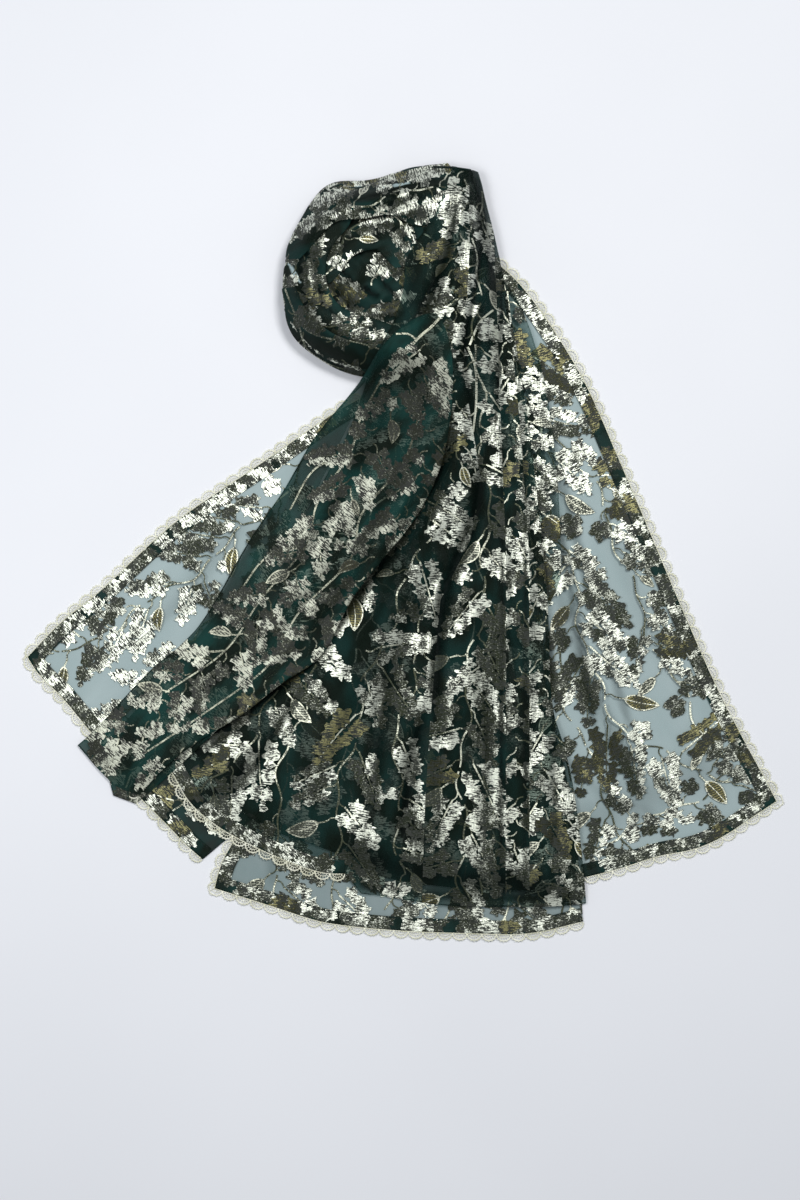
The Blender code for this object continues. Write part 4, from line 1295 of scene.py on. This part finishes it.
swirl_outer_lie = lay_stretch("roll_swirl_outer", (
    Crease(((-74, 275), (-50, 318), (-10, 326), (14, 300)), (3, 6), (1.5, 4, 1.5)),
    Crease(((-70, 270), (-48, 311), (-10, 319), (8, 298)), (2, 3), (-1, -3, -1), 2.2),
    Crease(((-66, 330), (-58, 306), (-64, 290)), (3, 3), (-1, -4, -1), 2.2),
    Crease(((-30, 340), (-22, 318), (-30, 300)), (3, 4), (-1, -4, -1), 2.2),
    Crease(((6, 332), (0, 310), (8, 286)), (3, 3), (-1, -3, -1), 2.0),
), plies=8.0, grain=20, waves=(1.2, 6, 16), seed=18)
swirl_outer_brocade = Brocade(73, swirl_outer_lie.grain, unlit=0.5)
swirl_outer_brocade.vine(((-76, 268), (-50, 318), (0, 326), (16, 290)), size=0.7, stem=1.4)
swirl_outer = woven(swirl_outer_lie, [swirl_outer_brocade], FACE_CLOTH, "layered_cloth", step=3)

side_turn_lie = lay_stretch("roll_side_turn", (
    Crease(((-98, 332), (-107, 280), (-96, 226), (-60, 197), (0, 186)), (7, 4), (2, 4.5, 2)),
    Crease(((-91, 330), (-100, 282), (-90, 232), (-56, 204), (0, 193)), (3, 3), (-1, -3, -1), 2.2),
    Crease(((-84, 328), (-93, 285), (-84, 242), (-50, 212)), (5, 4), (1.5, 4, 1.5)),
    Crease(((-78, 326), (-87, 285), (-78, 246), (-48, 219)), (3, 3), (-1, -4, -1), 2.2),
    Crease(((-116, 300), (-98, 292), (-80, 296)), (3, 4), (-1, -3, -1), 1.6),
    Crease(((-108, 236), (-88, 246), (-76, 262)), (3, 4), (-1, -4, -1), 2.0),
    # A flap with fewer plies, painted pale as if lit from behind.
    Crease(((-113, 291), (-107, 277), (-97, 262)), (4.5, 4.5), (0, 0, 0), -4.5),
    Crease(((-116, 318), (-98, 300), (-80, 276)), (3, 4), (-1, -4, -1), 2.4),
    Crease(((-112, 330), (-96, 312), (-80, 296)), (3, 4), (1, 3, 1)),
), plies=8.0, grain=-80, waves=(1.5, 5, 22), seed=19)
side_turn_brocade = Brocade(74, side_turn_lie.grain, unlit=0.5)
side_turn_brocade.vine(((-80, 345), (-104, 290), (-94, 230), (-50, 195), (0, 185)), size=0.75)
side_turn_rim = ((-90, 348), (-108, 318), (-114, 284), (-114, 262), (-108, 236), (-90, 206))
# Painted highlight: the threads along the steep rim are painted more lit, where the lamps reach them little.
side_turn_brocade.unlit, side_turn_brocade.lift = 0.4, 0.3
side_turn_brocade.scraps(side_turn_rim, size=0.45, share=0.6)
side_turn = woven(side_turn_lie, [side_turn_brocade], FACE_CLOTH, "layered_cloth", step=3.4)

top_turn_lie = lay_stretch("roll_top_turn", (
    Crease(((-92, 310), (-50, 323), (0, 334), (44, 346)), (3, 8), (2, 5, 2)),
    Crease(((-86, 318), (-50, 331), (0, 343), (50, 356)), (3, 3), (-2, -4, -2), 2.2),
    Crease(((-84, 328), (-40, 341), (5, 352), (52, 364)), (3, 7), (1.5, 4, 1.5)),
    Crease(((-74, 340), (-30, 350), (10, 360), (54, 372)), (3, 3), (-1, -3, -1), 1.6),
    # Flaps with fewer plies, painted pale as if lit from behind.
    Crease(((-58, 364), (-48, 364), (-36, 368)), (7, 7), (0, 0, 0), -4),
    Crease(((-26, 361), (-8, 361), (12, 364)), (4, 4), (0, 0, 0), -4),
    Crease(((-4, 378), (24, 384), (52, 384)), (7, 7), (0, 0, 0), -4),
    Crease(((-20, 376), (-8, 352), (-14, 330)), (3, 5), (-1, -4, -1), 1.6),
), plies=7.0, grain=14, waves=(1.5, 6, 26), seed=20)
top_turn_brocade = Brocade(75, top_turn_lie.grain, unlit=0.3)
top_turn_brocade.vine(((-98, 318), (-50, 340), (10, 352), (62, 362)), size=0.8)
top_turn_rim = ((-104, 316), (-90, 332), (-76, 350), (-62, 364), (-30, 372), (10, 378), (50, 384))
# Painted highlight: the threads along the steep rim are painted more lit, where the lamps reach them little.
top_turn_brocade.unlit, top_turn_brocade.lift = 0.35, 0.3
top_turn_brocade.scraps(top_turn_rim, size=0.4, share=0.75)
top_turn = woven(top_turn_lie, [top_turn_brocade], FACE_CLOTH, "layered_cloth", step=3.4)

outer_turn_lie = lay_stretch("roll_outer_turn", (
    Crease(((-112, 240), (-84, 207), (-36, 190), (5, 182)), (3, 7), (1.5, 3.5, 1.5)),
    Crease(((-118, 226), (-84, 196), (-36, 178), (5, 172)), (3, 4), (-1, -3, -1), 1.6),
), plies=8.0, grain=-35, waves=(1.0, 7, 34), seed=21)
outer_turn_brocade = Brocade(76, outer_turn_lie.grain, unlit=0.6)
for line in (
    ((-116, 262), (-100, 226), (-78, 212), (-44, 206), (-10, 196)),
    ((-104, 232), (-92, 200), (-60, 184), (-18, 178)),
):
    outer_turn_brocade.stem(curve_through(line), 1.7, 0.7)
outer_turn_brocade.vine(((-116, 250), (-92, 212), (-50, 192), (6, 178)), spacing=48, size=0.7, stem=0)
outer_turn = woven(outer_turn_lie, [outer_turn_brocade], FACE_CLOTH, "layered_cloth", step=3.4)


# ---------------------------------------------------------------------------------------------------
# Hidden folds: the many plies under the front panel, shown as one dark gathered layer. Their brocade
# only glimmers through the panel.
HIDDEN_GRAIN = -96.0
# The hidden threads are painted dim: painted shade under the front panel.
HIDDEN_CLOTH = [organza("organza_stack", open_share=0.5), *thread_set("hidden", dim=0.3, metal=0.4)]
# The plies along these troughs paint shade in them, on the hidden folds and on the front panel.
DEEP_FOLDS = (
    Crease((
        (52, 150), (44, 96), (18, 54), (-2, 14), (-52, -46), (-102, -111), (-152, -156), (-232, -221),
    ), (9, 16), (-5, -11, -4), 2.6),
    Crease(((78, 110), (72, 40), (42, -36), (34, -100), (31, -170)), (12, 8), (-4, -11, -3), 2.6),
    Crease(((56, 20), (14, -60), (-18, -140), (-28, -230), (-38, -310)), (8, 11), (-2, -6, -2), 1.2),
    Crease(((22, -150), (8, -216), (0, -290)), (14, 10), (-2, -8, -3), 2.0),
    Crease(((74, -40), (80, -160), (82, -320)), (7, 8), (-2, -5, -2), 1.2),
    Crease(((99, 120), (99, 0), (98, -160), (98, -340)), (5, 4), (-2, -4, -2), 2.0),
    Crease(((122, 100), (122, 0), (122, -160), (122, -340)), (5, 4), (-2, -4, -2), 1.8),
    Crease(((-96, -130), (-138, -190), (-178, -250)), (7, 9), (-1, -5, -2), 1.4),
    Crease(((150, 20), (153, -120), (151, -340)), (6, 9), (-1, -4, -2), 1.6),
    Crease(((80, 360), (75, 280), (62, 200), (70, 130)), (6, 6), (-2, -5, -2), 1.8),
    Crease(((52, 360), (44, 300), (18, 236), (-14, 184)), (7, 10), (-2, -8, -4), 2.4),
    Crease(((100, 280), (97, 200), (92, 120)), (4, 4), (-2, -4, -2), 1.8),
)
hidden_lie = lay_stretch(
    "hidden_folds", DEEP_FOLDS, plies=7.0, grain=HIDDEN_GRAIN, waves=(1.2, 16, 90), seed=22)
hidden_brocade = Brocade(81, HIDDEN_GRAIN, unlit=0.5)
for k, x in enumerate((-170, -110, -50, 10, 70, 130)):
    hidden_brocade.vine(((x * 0.3 + 62, 250), (x * 0.7 + 30, 60), (x, -140), (x - 5, -330)), spacing=40)
hidden_folds = woven(hidden_lie, [hidden_brocade], HIDDEN_CLOTH, "layered_cloth", step=5.5)


# ---------------------------------------------------------------------------------------------------
# Right under fold: the doubled edge of the organza, a dark strip along the front panel's right side. It
# lies on the hidden folds and on the right wing, and its edge is a fold with no hem.
UNDER_FOLD_GRAIN = -90.0
under_fold_lie = lay_stretch("right_under_fold", (
    Crease(((150, -40), (160, -160), (170, -340)), (5, 4), (0.5, 1.5, 0.5), 1.0),
), plies=3.0, grain=UNDER_FOLD_GRAIN, waves=(0.6, 10, 80), seed=23)
under_fold_brocade = Brocade(91, UNDER_FOLD_GRAIN, unlit=0.6)
under_fold_brocade.vine(((152, -40), (160, -180), (168, -345)), size=0.8)
under_fold = woven(under_fold_lie, [under_fold_brocade], FACE_CLOTH, "layered_cloth")


# ---------------------------------------------------------------------------------------------------
# Front panel: the widest stretch, from the top of the roll down over everything to its straight foot.
# Folds part it into four panels whose vines do not meet. Deep troughs run along its left side, and two
# sharp ridges run down its right side.
FRONT_GRAIN = -95.0
FRONT_HEM_GRAIN = -135.0
FOLD_A = (
    (66, 400), (66, 300), (60, 180), (78, 74), (68, 14),
    (38, -46), (33, -106), (28, -166), (23, -246), (18, -400),
)
FOLD_B = ((88, 400), (93, 260), (97, 150), (103, 0), (103, -400))
FOLD_C = ((100, 400), (106, 240), (118, 120), (126, 0), (127, -400))
front_lie = lay_stretch("front_panel", (
    *DEEP_FOLDS,
    Crease(((62, 150), (42, 60), (18, 0), (-20, -70), (-60, -150), (-90, -240)), (16, 16), (2, 5, 2)),
    Crease(((50, -110), (44, -200), (40, -300)), (12, 18), (2, 4, 2)),
    Crease(((93, 230), (97, 150), (103, 0), (103, -160), (103, -346)), (3, 15), (2, 5, 3)),
    Crease(((108, 230), (118, 120), (126, 0), (127, -160), (127, -346)), (3, 14), (2, 5, 3)),
    Crease(((-60, -90), (-110, -160), (-150, -240)), (14, 18), (1, 4, 2)),
    Crease(((66, 376), (58, 320), (40, 250), (8, 190), (0, 160)), (4, 12), (2, 6, 2)),
    Crease(((72, 330), (66, 250), (50, 180), (56, 120)), (4, 12), (2, 5, 2)),
    Crease(((88, 330), (88, 240), (84, 160)), (3, 9), (2, 4, 2)),
    # The creases from here on have little or no height: their plies paint broad patches of shade on the panel
    # and dull its floats.
    Crease(((66, 392), (78, 350), (86, 300), (92, 240)), (12, 12), (0.5, 1, 0.5), 1.6),
    Crease(((-72, -284), (-20, -308), (50, -322), (172, -334)), (34, 34), (0, 0, 0), 1.7),
    Crease(((6, -268), (16, -284), (22, -300)), (22, 22), (0, 0, 0), 1.5),
    Crease(((92, 60), (90, 20), (95, -12)), (18, 18), (0, 0, 0), 1.3),
    Crease(((-136, -190), (-190, -238), (-236, -254)), (30, 26), (0, 0, 0), 1.6),
    Crease(((6, 300), (10, 268), (14, 236)), (18, 18), (0, 0, 0), 1.3),
), plies=2.2, grain=FRONT_GRAIN, waves=(0.9, 13, 80), seed=24)
FRONT_PANELS = [np.array(outline) for outline in (
    ((-300, 400), *FOLD_A, (-300, -400)),
    (*FOLD_A, *FOLD_B[::-1]),
    (*FOLD_B, *FOLD_C[::-1]),
    (*FOLD_C, (220, -400), (220, 400)),
)]
front_left = Brocade(101, FRONT_GRAIN, panel=1, unlit=0.0, shy=0.65)
front_left.vine(((62, 388), (61, 330), (56, 280), (50, 236)), spacing=18, size=0.62, stem=0)
front_left.motif(22, 186, 20, "plume", 1.0)
front_left.motif(66, 136, 200, "plume", 1.05)
front_left.motif(-36, -96, 12, "plume", 1.1)
front_left.vine(((20, 230), (4, 160), (-4, 110), (20, 40)), spacing=18)
front_left.vine(((60, 222), (54, 160), (56, 110), (46, 60)), spacing=16, size=0.85, stem=0)
front_left.unlit, front_left.shy = 0.3, 0.8
front_left.vine(((12, 110), (-40, 10), (-90, -80), (-150, -180), (-205, -250)))
front_left.vine(((40, 60), (0, -40), (-35, -130), (-60, -230), (-70, -320)))
front_left.vine(((30, -40), (10, -120), (-5, -200), (0, -320)), size=0.95)
front_left.vine(((-60, -60), (-100, -150), (-120, -220), (-130, -300)), size=0.9)
front_left.stem(curve_through(((30, 226), (42, 214), (60, 204))), 2.6, 1.0)
front_middle = Brocade(102, FRONT_GRAIN, panel=2, unlit=0.0)
front_middle.stem(curve_through(((64, 202), (72, 182), (73, 150), (70, 120))), 2.4, 1.0)
front_middle.stem(curve_through(((66, 204), (76, 226), (90, 240))), 2.2, 0.9)
front_middle.motif(60, 12, 88, "plume", 1.2)
front_middle.motif(66, -200, -62, "plume", 1.3)
front_middle.motif(64, -270, -60, "plume", 1.0)
front_middle.unlit = 0.35
front_middle.vine(((78, 360), (72, 280), (74, 200), (80, 100), (84, 0), (70, -100), (60, -200), (60, -340)))
front_middle.vine(((90, -60), (86, -160), (88, -260), (80, -340)), size=0.85)
front_third = Brocade(103, FRONT_GRAIN, panel=3, unlit=0.0)
front_third.motif(108, -284, -70, "plume", 0.95)
front_third.unlit = 0.4
front_third.vine(((96, 330), (104, 200), (112, 60), (116, -100), (114, -340)), spacing=16, size=1.0, stem=0)
front_fourth = Brocade(104, FRONT_GRAIN, panel=4, unlit=0.35)
front_fourth.vine(((114, 300), (132, 60), (140, -60), (142, -200), (140, -345)), spacing=16, size=1.0, stem=0)
front_fourth.vine(((150, -40), (160, -200), (165, -345)), spacing=18, size=0.9, stem=0)
FRONT_BROCADES = [front_left, front_middle, front_third, front_fourth]
front_panel = woven(front_lie, FRONT_BROCADES, FACE_CLOTH, "layered_cloth", panels=FRONT_PANELS)
front_way = ((-250, -196), (-163, -284), (-57, -319))
front_trim = hem_and_lace("front", front_lie._replace(grain=FRONT_HEM_GRAIN), front_way, "layered_cloth", 105)


# ---------------------------------------------------------------------------------------------------
# Left fold: the panel's left border turned back over it, so the reverse side shows, with duller thread
# and thinner stems. A second ply slides out under its lower end.
REVERSE_GRAIN = -131.0
REVERSE_TEAL = (0.011, 0.052, 0.045, 1.0)
REVERSE_CLOTH = [
    organza("organza_reverse", light=REVERSE_TEAL), *thread_set("reverse", dim=0.6, metal=0.4, warm=0.95)]
fold_ply_lie = lay_stretch("left_fold_ply", (), plies=5.0, grain=REVERSE_GRAIN, waves=(0.4, 14, 60), seed=25)
fold_ply_brocade = Brocade(111, REVERSE_GRAIN, unlit=0.5, gold=0.04)
fold_ply_brocade.vine(((-130, -60), (-200, -140), (-290, -240)), size=0.9)
fold_ply = woven(fold_ply_lie, [fold_ply_brocade], REVERSE_CLOTH, "reverse_cloth")

left_fold_lie = lay_stretch("left_fold", (
    Crease(((30, 200), (-10, 130), (-60, 50), (-120, -40), (-200, -120), (-290, -200)), (16, 14), (1, 3, 1)),
    Crease(((10, 130), (-30, 40), (-80, -30), (-140, -100), (-220, -180)), (9, 9), (-1, -3, -1)),
    Crease(((40, 130), (0, 50), (-40, -20), (-100, -90), (-180, -160)), (12, 10), (1, 3, 1)),
), plies=4.0, grain=REVERSE_GRAIN, waves=(0.6, 13, 70), seed=26)
left_fold_brocade = Brocade(121, REVERSE_GRAIN, unlit=0.0, gold=0.04)
left_fold_brocade.stem(curve_through(((-4, 186), (14, 208), (30, 222), (44, 238))), 2.8, 1.0)
left_fold_brocade.stem(curve_through(((14, 208), (6, 214), (-6, 214))), 2.0, 0.9)
left_fold_brocade.motif(26, 204, 215, "plume", 0.9)
left_fold_brocade.unlit = 0.6
for line in (
    ((-6, 196), (-40, 138), (-52, 100), (-84, 52), (-96, 8), (-140, -44), (-176, -96), (-236, -138)),
    ((20, 150), (2, 92), (-40, 40), (-52, -6), (-104, -60), (-132, -110), (-196, -158), (-268, -206)),
    ((-52, 100), (-88, 84), (-112, 44)),
    ((-96, 8), (-136, -4), (-166, -44)),
    ((-176, -96), (-222, -104), (-252, -146)),
):
    left_fold_brocade.stem(curve_through(line), 2.0, 0.55)
left_fold_brocade.vine((
    (25, 200), (-20, 130), (-60, 60), (-110, -20), (-180, -100), (-290, -190)), size=0.85, stem=0)
left_fold_brocade.unlit = 0.4
left_fold_brocade.vine(((40, 130), (0, 40), (-55, -40), (-120, -115), (-230, -205)), size=0.8, stem=0)
left_fold = woven(left_fold_lie, [left_fold_brocade], REVERSE_CLOTH, "reverse_cloth")
